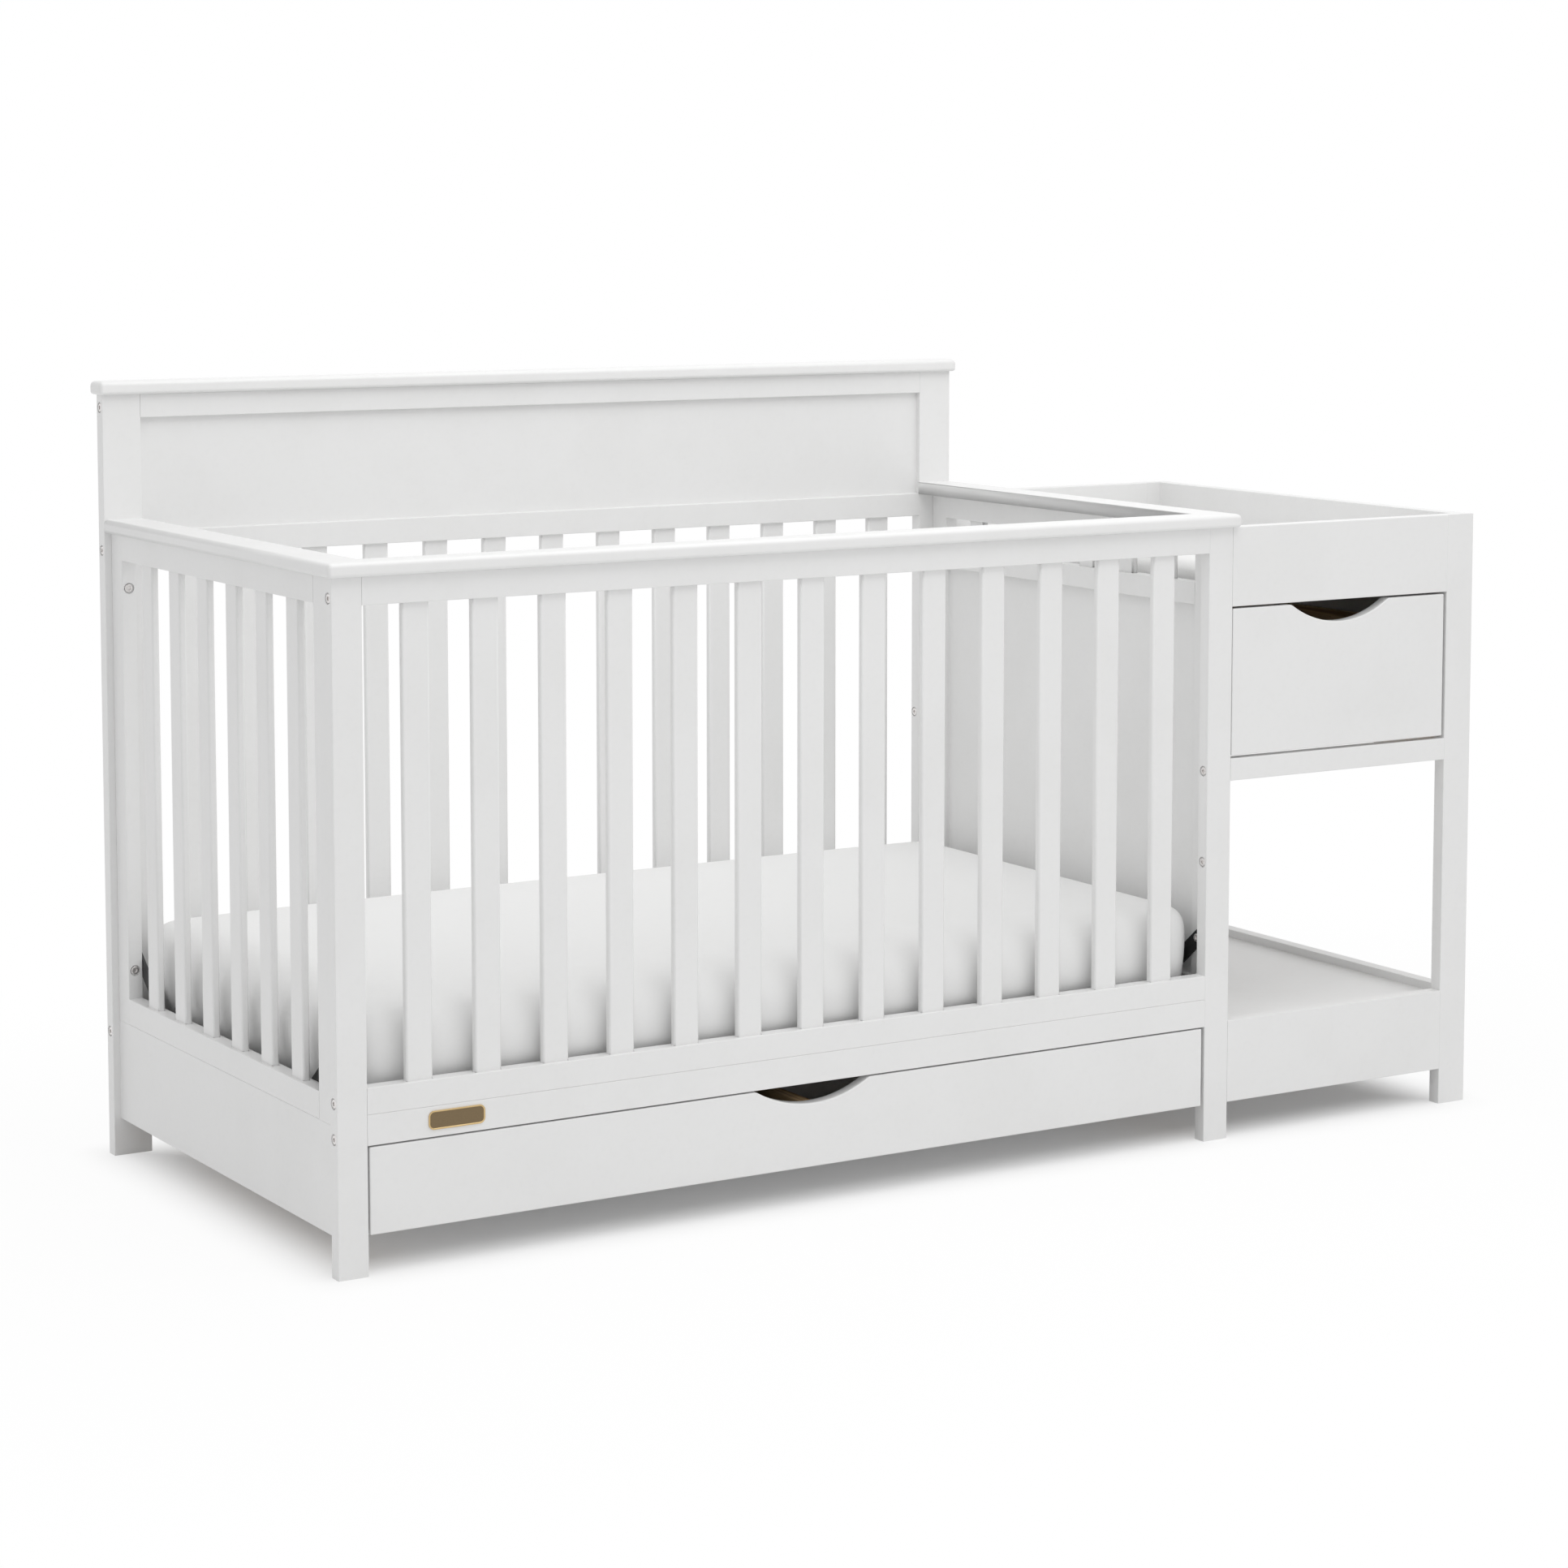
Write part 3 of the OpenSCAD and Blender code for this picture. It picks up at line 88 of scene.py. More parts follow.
Colour = tuple[float, float, float]
Piece = bpy.types.Object


# --- Shader graphs --------------------------------------------------------------------------------


@dataclass(frozen=True)
class Noise:
    """One layer of noise: its cells a metre, octaves, roughness and swirl."""

    cells: float
    octaves: float = 2.0
    rough: float = 0.5
    swirl: float = 0.0


def _operator(operation: str, swapped: bool = False) -> Callable[[Wire, Wire | float], Wire]:
    """Makes one of the operators of a wire.

    Args:
        operation: The Math node's operation.
        swapped: Whether the wire is the second value.

    Returns:
        The method, which adds the node.
    """

    def method(wire: Wire, other: Wire | float) -> Wire:
        """Joins the wire and another value in one Math node."""
        return wire.reckon(operation, *((other, wire) if swapped else (wire, other)))

    return method


class Wire:
    """A node's output that Python's operators turn into Math nodes."""

    __add__, __radd__ = _operator("ADD"), _operator("ADD", swapped=True)
    __sub__, __rsub__ = _operator("SUBTRACT"), _operator("SUBTRACT", swapped=True)
    __mul__, __pow__ = _operator("MULTIPLY"), _operator("POWER")
    most = _operator("MAXIMUM")

    def __init__(self, graph: Graph, socket: bpy.types.NodeSocket | None) -> None:
        """Keeps the graph and the socket, which an output node hasn't."""
        self.graph = graph
        self.socket = socket

    def reckon(self, operation: str, *values: Wire | float) -> Wire:
        """Adds one Math node on these values."""
        return self.graph.add("ShaderNodeMath", {"operation": operation}, dict(enumerate(values)))

    def __abs__(self) -> Wire:
        """Absolute value."""
        return self.reckon("ABSOLUTE", self)

    def sine(self) -> Wire:
        """Sine of the value in radians."""
        return self.reckon("SINE", self)

    def ramp(self, low: float, high: float) -> Wire:
        """A smooth step from 0 at low to 1 at high."""
        return self.graph.add("ShaderNodeMapRange", {"interpolation_type": "SMOOTHSTEP"},
                              {"Value": self, "From Min": low, "From Max": high})


class Graph:
    """The node tree of one material, emptied and ready for new nodes."""

    def __init__(self, tree: bpy.types.NodeTree) -> None:
        """Keeps the tree and clears it."""
        self.tree = tree
        tree.nodes.clear()

    def add(self, kind: str, settings: dict | None = None, inputs: dict | None = None,
            output: str | int = 0) -> Wire:
        """Adds one node.

        Args:
            kind: The node's type name.
            settings: Its own settings.
            inputs: Values or wires by socket name or number.
            output: Which output the returned wire is on.

        Returns:
            The wire on that output.
        """
        node = self.tree.nodes.new(kind)
        for name, value in (settings or {}).items():
            setattr(node, name, value)
        for name, value in (inputs or {}).items():
            if isinstance(value, Wire):
                self.tree.links.new(value.socket, node.inputs[name])
            else:
                node.inputs[name].default_value = value
        return Wire(self, node.outputs[output] if node.outputs else None)

    def place(self, scale: Point = (1.0, 1.0, 1.0)) -> Wire:
        """Object coordinates, scaled along each axis.

        Args:
            scale: The factors along X, Y and Z.

        Returns:
            The coordinates.
        """
        here = self.add("ShaderNodeTexCoord", output="Object")
        return self.add("ShaderNodeMapping", {"vector_type": "POINT"},
                        {"Vector": here, "Scale": scale})

    def axes(self) -> tuple[Wire, Wire, Wire]:
        """The three object coordinates as numbers.

        Returns:
            The wires of X, Y and Z.
        """
        here = self.add("ShaderNodeTexCoord", output="Object")
        split = self.add("ShaderNodeSeparateXYZ", inputs={0: here})
        return tuple(Wire(self, out) for out in split.socket.node.outputs)

    def noise(self, where: Wire, layer: Noise) -> Wire:
        """One layer of noise, from 0 to 1.

        Args:
            where: The coordinates that it runs on.
            layer: Its pattern.

        Returns:
            The noise.
        """
        return self.add("ShaderNodeTexNoise", {"noise_dimensions": "3D"}, {
            "Vector": where, "Scale": layer.cells, "Detail": layer.octaves,
            "Roughness": layer.rough, "Distortion": layer.swirl})

    def blend(self, factor: Wire | float, first: Wire | Colour, second: Wire | Colour) -> Wire:
        """Mixes two colours.

        Args:
            factor: The share of the second one.
            first: A colour, or a wire that carries one.
            second: Another.

        Returns:
            The mixed colour.
        """
        given = [(*c, 1.0) if isinstance(c, tuple) else c for c in (first, second)]
        return self.add("ShaderNodeMix", {"data_type": "RGBA"},
                        {0: factor, 6: given[0], 7: given[1]}, output=2)

    def seen(self) -> Wire:
        """Tells the rays that show the surface: straight, mirrored or through glass.

        Returns:
            1 for those rays, and 0 for the rays that carry light.
        """
        sight = self.add("ShaderNodeLightPath", output="Is Camera Ray")
        glossy, through = (Wire(self, sight.socket.node.outputs[name])
                           for name in ("Is Glossy Ray", "Is Transmission Ray"))
        return sight.most(glossy).most(through)

    def bump(self, height: Wire, depth: float, strength: float, below: Wire | None = None) -> Wire:
        """A surface normal that follows a height.

        Args:
            height: The height, from 0 to 1.
            depth: Its full range in metres.
            strength: How much of it shows.
            below: The normal of a relief under this one.

        Returns:
            The normal.
        """
        inputs = {"Height": height, "Distance": depth, "Strength": strength}
        if below is not None:
            inputs["Normal"] = below
        return self.add("ShaderNodeBump", inputs=inputs)

    def surface(self, **inputs: Wire | float) -> None:
        """Ends the graph in a Principled shader.

        Args:
            **inputs: What goes to its sockets, whose names have _ for a space.
        """
        shader = self.add("ShaderNodeBsdfPrincipled",
                          inputs={name.replace("_", " "): value for name, value in inputs.items()})
        self.add("ShaderNodeOutputMaterial", inputs={"Surface": shader})


# --- Finishes -------------------------------------------------------------------------------------


class Grain(Enum):
    """The way that a board's grain runs, as stretch factors for a pattern along X, Y and Z."""

    ALONG_X = (0.05, 1.0, 1.0)
    ALONG_Y = (1.0, 0.05, 1.0)
    ALONG_Z = (1.0, 1.0, 0.05)


@dataclass(frozen=True)
class Finish:
    """What every finish has: a name and one shader."""

    name: str

    def material(self) -> bpy.types.Material:
        """Gives the finish's material, which is made at its first use.

        Returns:
            The material.
        """
        known = bpy.data.materials.get(self.name)
        if known is not None and known.get("crib_finish"):
            return known
        material = bpy.data.materials.new(self.name)
        material.use_nodes = True
        material["crib_finish"] = True
        self.shade(Graph(material.node_tree))
        return material

    def shade(self, graph: Graph) -> None:
        """Fills the graph; each finish has its own."""
        raise NotImplementedError


@dataclass(frozen=True)
class SprayedLacquer(Finish):
    """White satin lacquer over wood: orange peel, a trace of grain and a mottled thickness."""

    grain: Grain = Grain.ALONG_X
    full: Colour = (0.835, 0.835, 0.832)
    thin: Colour = (0.800, 0.799, 0.793)
    cloud: Noise = Noise(7.0, 3.0, 0.55)
    mottle: Noise = Noise(120.0, rough=0.6)
    fibre: Noise = Noise(700.0, 4.0, 0.62, 0.3)
    peel: Noise = Noise(620.0)
    relief: float = 0.05 * MM

    def shade(self, graph: Graph) -> None:
        """Colours by a cloudy thickness, with a relief of grain and orange peel.

        Args:
            graph: The material's empty graph.
        """
        here, along = graph.place(), graph.place(self.grain.value)
        cloud, mottle = graph.noise(here, self.cloud), graph.noise(here, self.mottle)
        fibre, peel = graph.noise(along, self.fibre), graph.noise(here, self.peel)
        thinness = (cloud.ramp(0.42, 0.70) * 0.45 + mottle.ramp(0.45, 0.75) * 0.25
                    + fibre.ramp(0.56, 0.76) * 0.20)
        graph.surface(
            Base_Color=graph.blend(thinness, self.full, self.thin),
            Roughness=0.33 + mottle * 0.06 + cloud * 0.05,
            Normal=graph.bump(fibre * 0.45 + peel * 0.55, self.relief, 0.55),
            Coat_Weight=0.12,
            Coat_Roughness=0.22,
            Specular_IOR_Level=0.42,
        )


@dataclass(frozen=True)
class SealedWood(Finish):
    """Clear-sealed wood with rings, fibres and pores along the board."""

    grain: Grain = Grain.ALONG_Y
    early: Colour = (0.760, 0.540, 0.300)
    late: Colour = (0.450, 0.255, 0.110)
    pore: Colour = (0.210, 0.105, 0.045)
    broad: Noise = Noise(26.0, swirl=0.6)
    rings: float = 44.0
    fibre: Noise = Noise(420.0, 5.0, 0.65, 0.2)
    pores: Noise = Noise(1500.0)
    cloud: Noise = Noise(9.0)
    relief: float = 0.12 * MM

    def shade(self, graph: Graph) -> None:
        """Makes rings from a stretched, swirled noise, and pores as short dark dashes.

        Args:
            graph: The material's empty graph.
        """
        along = graph.place(self.grain.value)
        ring = (graph.noise(along, self.broad) * self.rings).sine() * 0.5 + 0.5
        fibre = graph.noise(along, self.fibre)
        pores = graph.noise(along, self.pores).ramp(0.63, 0.72)
        tone = ring * 0.42 + fibre * 0.40 + graph.noise(graph.place(), self.cloud) * 0.18
        wood = graph.blend(tone.ramp(0.24, 0.80), self.early, self.late)
        graph.surface(
            Base_Color=graph.blend(pores * 0.7, wood, self.pore),
            Roughness=0.42 + fibre * 0.16,
            Normal=graph.bump(fibre - pores * 0.6, self.relief, 0.6),
            Coat_Weight=0.08,
            Coat_Roughness=0.3,
        )


@dataclass(frozen=True)
class PowderCoat(Finish):
    """Black powder coat on steel, with its fine dimples."""

    clean: Colour = (0.0145, 0.0148, 0.0155)
    dusty: Colour = (0.026, 0.026, 0.026)
    dimple: Noise = Noise(900.0, rough=0.55)
    dust: Noise = Noise(18.0, 3.0, 0.6)
    relief: float = 0.08 * MM

    def shade(self, graph: Graph) -> None:
        """Adds dimples and a faint dusty cast.

        Args:
            graph: The material's empty graph.
        """
        here = graph.place()
        dimple, dust = graph.noise(here, self.dimple), graph.noise(here, self.dust).ramp(0.45, 0.75)
        graph.surface(
            Base_Color=graph.blend(dust, self.clean, self.dusty),
            Roughness=0.40 + dust * 0.12 + dimple * 0.08,
            Normal=graph.bump(dimple, self.relief, 0.7),
        )


@dataclass(frozen=True)
class PlatedSteel(Finish):
    """Zinc or nickel plating: bright metal, with spangle and fine drawing lines."""

    bright: Colour = (0.74, 0.75, 0.77)
    dull: Colour = (0.56, 0.57, 0.59)
    rough: float = 0.30
    spangle: float = 160.0
    drawing: Noise = Noise(2600.0)
    drawn_out: Point = (1.0, 0.02, 1.0)
    relief: float = 0.01 * MM

    def shade(self, graph: Graph) -> None:
        """Lets the crystals change tone and gloss a little.

        Args:
            graph: The material's empty graph.
        """
        crystal = graph.add("ShaderNodeTexVoronoi", {"feature": "F1"},
                            {"Vector": graph.place(), "Scale": self.spangle}, output="Color")
        tone = graph.add("ShaderNodeSeparateXYZ", inputs={0: crystal})
        lines = graph.noise(graph.place(self.drawn_out), self.drawing)
        graph.surface(
            Base_Color=graph.blend(tone * 0.7 + lines * 0.3, self.bright, self.dull),
            Metallic=1.0,
            Roughness=self.rough + tone * 0.10 + lines * 0.08,
            Normal=graph.bump(lines, self.relief, 0.4),
        )


@dataclass(frozen=True)
class MouldedNylon(Finish):
    """Off-white nylon with a soft mould texture."""

    fresh: Colour = (0.74, 0.735, 0.715)
    worn: Colour = (0.62, 0.61, 0.59)
    cloud: Noise = Noise(260.0, 3.0, 0.6)
    relief: float = 0.03 * MM

    def shade(self, graph: Graph) -> None:
        """Clouds it faintly where it has run.

        Args:
            graph: The material's empty graph.
        """
        cloud = graph.noise(graph.place(), self.cloud)
        graph.surface(
            Base_Color=graph.blend(cloud.ramp(0.4, 0.7), self.fresh, self.worn),
            Roughness=0.38 + cloud * 0.15,
            Normal=graph.bump(cloud, self.relief, 0.5),
        )


@dataclass(frozen=True)
class KnitCover(Finish):
    """White jersey cover: rows of fine stitches, a soft nap and slight slubs."""

    high: Colour = (0.872, 0.872, 0.868)
    # the darker colour, used for painted shade in the stitches' hollows and for the slubs' real tone
    low: Colour = (0.815, 0.815, 0.810)
    pitch: float = 1.5 * MM
    slub: Noise = Noise(240.0, 3.0, 0.6)
    slub_run: Point = (1.0, 0.25, 1.0)
    nap: Noise = Noise(1700.0, rough=0.6)
    relief: float = 0.25 * MM

    def shade(self, graph: Graph) -> None:
        """Repeats the stitches along all three axes, so that tops and sides both show them.

        Args:
            graph: The material's empty graph.
        """
        x, y, z = graph.axes()
        turn = 2.0 * math.pi / self.pitch
        wales, courses = ((axis + z * 0.5) * turn for axis in (x, y))
        slub = graph.noise(graph.place(self.slub_run), self.slub)
        nap = graph.noise(graph.place(), self.nap)
        stitch = wales.sine() * courses.sine() * 0.25 + 0.5
        # painted shade: the stitches' hollows are coloured darker, plus the real, random tone of the
        # slubs
        stitch_shade_and_slub = (1.0 - stitch) * 0.35 + slub.ramp(0.5, 0.8) * 0.25
        graph.surface(
            Base_Color=graph.blend(stitch_shade_and_slub, self.high, self.low),
            Roughness=0.82 + nap * 0.12,
            Normal=graph.bump(stitch * 0.6 + nap * 0.25 + slub * 0.15, self.relief, 0.45),
            Sheen_Weight=0.12,
            Sheen_Roughness=0.5,
        )


@dataclass(frozen=True)
class WipeCover(Finish):
    """White wipe-clean cover: a fine embossed leather grain with a low gloss."""

    high: Colour = (0.850, 0.850, 0.845)
    # colour of the painted shade in the crevices between the pebbles
    painted_crevice_shade: Colour = (0.770, 0.768, 0.760)
    pebbles: float = 620.0
    pebble_rim: float = 0.16
    wrinkle: Noise = Noise(46.0, 4.0, 0.6, 0.8)
    wrinkle_run: Point = (1.0, 0.4, 1.0)
    pebble_relief: float = 0.1 * MM
    wrinkle_relief: float = 0.9 * MM

    def shade(self, graph: Graph) -> None:
        """Makes pebbles from a Voronoi distance, with painted shade in the crevices between them and
        soft wrinkles over them.

        Args:
            graph: The material's empty graph.
        """
        pebble = graph.add("ShaderNodeTexVoronoi", {"feature": "DISTANCE_TO_EDGE"},
                           {"Vector": graph.place(), "Scale": self.pebbles})
        wrinkle = graph.noise(graph.place(self.wrinkle_run), self.wrinkle)
        grain = pebble.ramp(0.0, self.pebble_rim)
        graph.surface(
            # painted shade: darker colour towards each pebble's edge, in the crevices
            Base_Color=graph.blend((1.0 - grain) * 0.5, self.high, self.painted_crevice_shade),
            Roughness=0.50 - grain * 0.10 + wrinkle * 0.08,
            Normal=graph.bump(wrinkle, self.wrinkle_relief, 0.35,
                              graph.bump(grain, self.pebble_relief, 0.5)),
            Coat_Weight=0.06,
            Coat_Roughness=0.35,
        )


@dataclass(frozen=True)
class StampedBrass(Finish):
    """Brass of a stamped plate, brushed on the rim and darkened in its field."""

    darkened: float = 0.05
    bright: Colour = (0.72, 0.53, 0.27)
    dark: Colour = (0.175, 0.130, 0.080)
    brushed: Noise = Noise(2400.0)
    brushed_run: Point = (0.03, 1.0, 1.0)
    patina: Noise = Noise(900.0)
    relief: float = 0.02 * MM

    def shade(self, graph: Graph) -> None:
        """Lays an even patina over brushed metal.

        Args:
            graph: The material's empty graph.
        """
        brushed = graph.noise(graph.place(self.brushed_run), self.brushed)
        patina = graph.noise(graph.place(), self.patina)
        graph.surface(
            Base_Color=graph.blend(patina * 0.12 + self.darkened, self.bright, self.dark),
            Metallic=1.0,
            Roughness=0.30 + brushed * 0.10 + patina * 0.12,
            Normal=graph.bump(brushed, self.relief, 0.5),
        )


@dataclass(frozen=True)
class PaleFloor(Finish):
    """A pale floor that keeps the shadow under and beside the object and is white beyond it."""

    half_length: float = 0.901  # of the object's footprint
    half_depth: float = 0.3725
    inside: float = 0.095  # where the white starts to rise, inside the footprint
    outside: float = 0.070  # where its first rise ends, beyond the footprint
    reach: float = 1.1  # where it is full
    under_share: float = 0.14  # of white under the object
    near_share: float = 0.93  # of white where the first rise ends
    clean: Colour = (0.92, 0.92, 0.92)
    dusty: Colour = (0.89, 0.89, 0.89)
    speck: Noise = Noise(30.0, 3.0)

    def shade(self, graph: Graph) -> None:
        """Mixes a diffuse floor with plain white, by the distance from the object's footprint.

        Args:
            graph: The material's empty graph.
        """
        x, y, _ = graph.axes()
        over_x, over_y = abs(x) - self.half_length, abs(y) - self.half_depth
        beyond = (over_x.most(0.0) ** 2.0 + over_y.most(0.0) ** 2.0) ** 0.5
        away = beyond - (over_x.most(over_y) * -1.0).most(0.0)
        edge = away.ramp(-self.inside, self.outside)
        open_floor = away.ramp(self.outside, self.reach)
        white_share = (self.under_share + edge * (self.near_share - self.under_share)
                       + open_floor * (1.0 - self.near_share))
        speck = graph.noise(graph.place(), self.speck)
        matte = graph.add("ShaderNodeBsdfDiffuse", inputs={
            "Color": graph.blend(speck * 0.3, self.clean, self.dusty)})
        white = graph.add("ShaderNodeEmission", inputs={"Color": WHITE})
        mixed = graph.add("ShaderNodeMixShader",
                          inputs={0: graph.seen() * white_share, 1: matte, 2: white})
        graph.add("ShaderNodeOutputMaterial", inputs={"Surface": mixed})


LACQUER = {grain: SprayedLacquer(f"white_lacquer_{grain.name.lower()}", grain) for grain in Grain}
WOOD = {grain: SealedWood(f"sealed_wood_{grain.name.lower()}", grain) for grain in Grain}
BLACK_STEEL = PowderCoat("black_powder_coat")
ZINC = PlatedSteel("zinc_sheet")
NICKEL = PlatedSteel("nickel_bolt", bright=(0.82, 0.80, 0.79), dull=(0.66, 0.64, 0.63), rough=0.24,
                     spangle=700.0)
NYLON = MouldedNylon("moulded_nylon")
TICKING = KnitCover("mattress_jersey")
PAD_COVER = WipeCover("pad_wipe_clean_cover")
PLATE_RIM = StampedBrass("brass_rim")
PLATE_FIELD = StampedBrass("bronze_field", darkened=0.86)


# --- Modelling bench ------------------------------------------------------------------------------


class Bench:
    """Modelling steps that work on one piece at a time, with everything else deselected."""

    @staticmethod
    def only(piece: Piece) -> None:
        """Selects one piece alone and makes it active.

        Args:
            piece: The piece to work on next.
        """
        bpy.ops.object.select_all(action="DESELECT")
        piece.select_set(True)
        bpy.context.view_layer.objects.active = piece

    @staticmethod
    def start(name: str, add: Callable, **settings: object) -> Piece:
        """Starts a piece from a primitive, whose place and scale go into its mesh.

        Args:
            name: The piece's name.
            add: The operator that adds the primitive.
            **settings: What that operator is given.

        Returns:
            The piece, selected alone.
        """
        bpy.ops.object.select_all(action="DESELECT")
        add(**settings)
        piece = bpy.context.active_object
        piece.name = piece.data.name = name
        bpy.ops.object.transform_apply(location=True, rotation=True, scale=True)
        return piece

    @staticmethod
    def block(name: str, low: Sequence[float], high: Sequence[float]) -> Piece:
        """Starts a piece from a block.

        Args:
            name: The piece's name.
            low: The block's lowest corner, in metres.
            high: Its highest corner.

        Returns:
            The block.
        """
        middle = [(a + b) / 2 for a, b in zip(low, high)]
        return Bench.start(name, bpy.ops.mesh.primitive_cube_add, size=1.0, location=middle,
                           scale=[b - a for a, b in zip(low, high)])

    @staticmethod
    def drum(name: str, radius: float, low: float, high: float, sides: int) -> Piece:
        """Starts a piece from a cylinder on the Z axis, between two heights."""
        return Bench.start(name, bpy.ops.mesh.primitive_cylinder_add, vertices=sides, radius=radius,
                           depth=high - low, location=(0.0, 0.0, (low + high) / 2))

    @staticmethod
    @contextmanager
    def editing(piece: Piece, kind: str = "FACE") -> Iterator[None]:
        """Edit mode on a piece, with nothing selected at its start.

        Args:
            piece: The piece.
            kind: VERT, EDGE or FACE.
        """
        Bench.only(piece)
        bpy.ops.object.mode_set(mode="EDIT")
        bpy.ops.mesh.select_mode(type=kind)
        bpy.ops.mesh.select_all(action="DESELECT")
        try:
            yield
        finally:
            bpy.ops.object.mode_set(mode="OBJECT")

    @staticmethod
    def pick(piece: Piece, kind: str, test: Callable) -> None:
        """Selects, in edit mode, just the elements that pass a test.

        Args:
            piece: The piece in edit mode.
            kind: EDGE or FACE.
            test: Called with each bmesh element.
        """
        bpy.ops.mesh.select_mode(type=kind)
        bpy.ops.mesh.select_all(action="DESELECT")
        mesh = bmesh.from_edit_mesh(piece.data)
        for element in [e for e in (mesh.edges if kind == "EDGE" else mesh.faces) if test(e)]:
            element.select_set(True)
        mesh.select_flush_mode()
        bmesh.update_edit_mesh(piece.data)

    @staticmethod
    def pick_along(piece: Piece, axis: int) -> None:
        """Selects, in edit mode, the edges whose ends differ along an axis: 0, 1 or 2."""
        Bench.pick(piece, "EDGE", lambda e: abs(e.verts[0].co[axis] - e.verts[1].co[axis]) > NEAR)

    @staticmethod
    def slice_at(x: float) -> None:
        """Cuts the piece in edit mode through at one place along X."""
        bpy.ops.mesh.select_all(action="SELECT")
        bpy.ops.mesh.bisect(plane_co=(x, 0, 0), plane_no=(1, 0, 0))

    @staticmethod
    def extrude(move: Point) -> None:
        """Extrudes what is selected in edit mode, by a move in metres."""
        bpy.ops.mesh.extrude_region_move(TRANSFORM_OT_translate={"value": move})

    @staticmethod
    def modify(piece: Piece, kind: str, **settings: object) -> None:
        """Adds one modifier and applies it.

        Args:
            piece: The piece.
            kind: The modifier's type.
            **settings: The modifier's settings.
        """
        Bench.only(piece)
        modifier = piece.modifiers.new(kind.title(), kind)
        for name, value in settings.items():
            setattr(modifier, name, value)
        bpy.ops.object.modifier_apply(modifier=modifier.name)

    @staticmethod
    def soften(piece: Piece, width: float, segments: int, angle: float | None = None) -> None:
        """Rounds a piece's edges and keeps its flats flat in the shading.

        Args:
            piece: The piece.
            width: How far the round reaches from the edge.
            segments: How many steps it has.
            angle: The least angle of an edge that is rounded, in degrees; without it, each edge is
                rounded by its own weight.
        """
        Bench.only(piece)
        bpy.ops.object.shade_smooth()
        Bench.modify(piece, "BEVEL", width=width, segments=segments, profile=0.5,
                     limit_method="WEIGHT" if angle is None else "ANGLE",
                     angle_limit=math.radians(angle or 0.0), use_clamp_overlap=True)
        Bench.modify(piece, "WEIGHTED_NORMAL", weight=90, keep_sharp=False, mode="FACE_AREA")

    @staticmethod
    def weigh(piece: Piece, weight: Callable[[Vector, Vector], float]) -> None:
        """Gives each edge its share of the width of the round.

        Args:
            piece: The piece.
            weight: Gives the share, from 0 to 1, from the edge's two ends.
        """
        points = [vertex.co.copy() for vertex in piece.data.vertices]
        layer = piece.data.attributes.new("bevel_weight_edge", "FLOAT", "EDGE")
        for edge in piece.data.edges:
            layer.data[edge.index].value = weight(*(points[i] for i in edge.vertices))

    @staticmethod
    def carve(piece: Piece, tool: Piece) -> None:
        """Cuts a tool out of the piece and removes the tool."""
        Bench.modify(piece, "BOOLEAN", operation="DIFFERENCE", object=tool, solver="EXACT")
        bpy.data.objects.remove(tool)

    @staticmethod
    def copy(piece: Piece, name: str, place: Matrix) -> Piece:
        """Copies a piece together with its mesh.

        Args:
            piece: The piece.
            name: The copy's name.
            place: How its mesh is moved and turned.

        Returns:
            The copy.
        """
        twin = piece.copy()
        twin.data = piece.data.copy()
        twin.name = twin.data.name = name
        twin.data.transform(place)
        bpy.context.scene.collection.objects.link(twin)
        return twin

    @staticmethod
    def join(pieces: Sequence[Piece], name: str) -> Piece:
        """Joins two or more pieces.

        Args:
            pieces: The pieces.
            name: The name of the joined one.

        Returns:
            The first piece, which now holds all.
        """
        bpy.ops.object.select_all(action="DESELECT")
        for piece in pieces:
            piece.select_set(True)
        bpy.context.view_layer.objects.active = pieces[0]
        bpy.ops.object.join()
        pieces[0].name = pieces[0].data.name = name
        return pieces[0]

    @staticmethod
    def coat(piece: Piece, *finishes: Finish) -> Piece:
        """Gives a piece its finishes.

        Args:
            piece: The piece.
            *finishes: The finishes, in the order of its material slots.

        Returns:
            The piece.
        """
        piece.data.materials.clear()
        for finish in finishes:
            piece.data.materials.append(finish.material())
        return piece


def hand_over(piece: Piece, body: str, slot: str, *nodes: str) -> None:
    """Puts a finished piece on its body and reports it.

    Args:
        piece: The piece.
        body: The CAD body that it rides on.
        slot: The record's material slot; not used.
        *nodes: The CAD nodes that it replaces.
    """
    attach(piece, body)
    if nodes:
        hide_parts(*nodes)
    triangles = sum(len(polygon.vertices) - 2 for polygon in piece.data.polygons)
    LOG.info("%s rides on %s, %d triangles", piece.name, body, triangles)


# --- Boards of the CAD ----------------------------------------------------------------------------


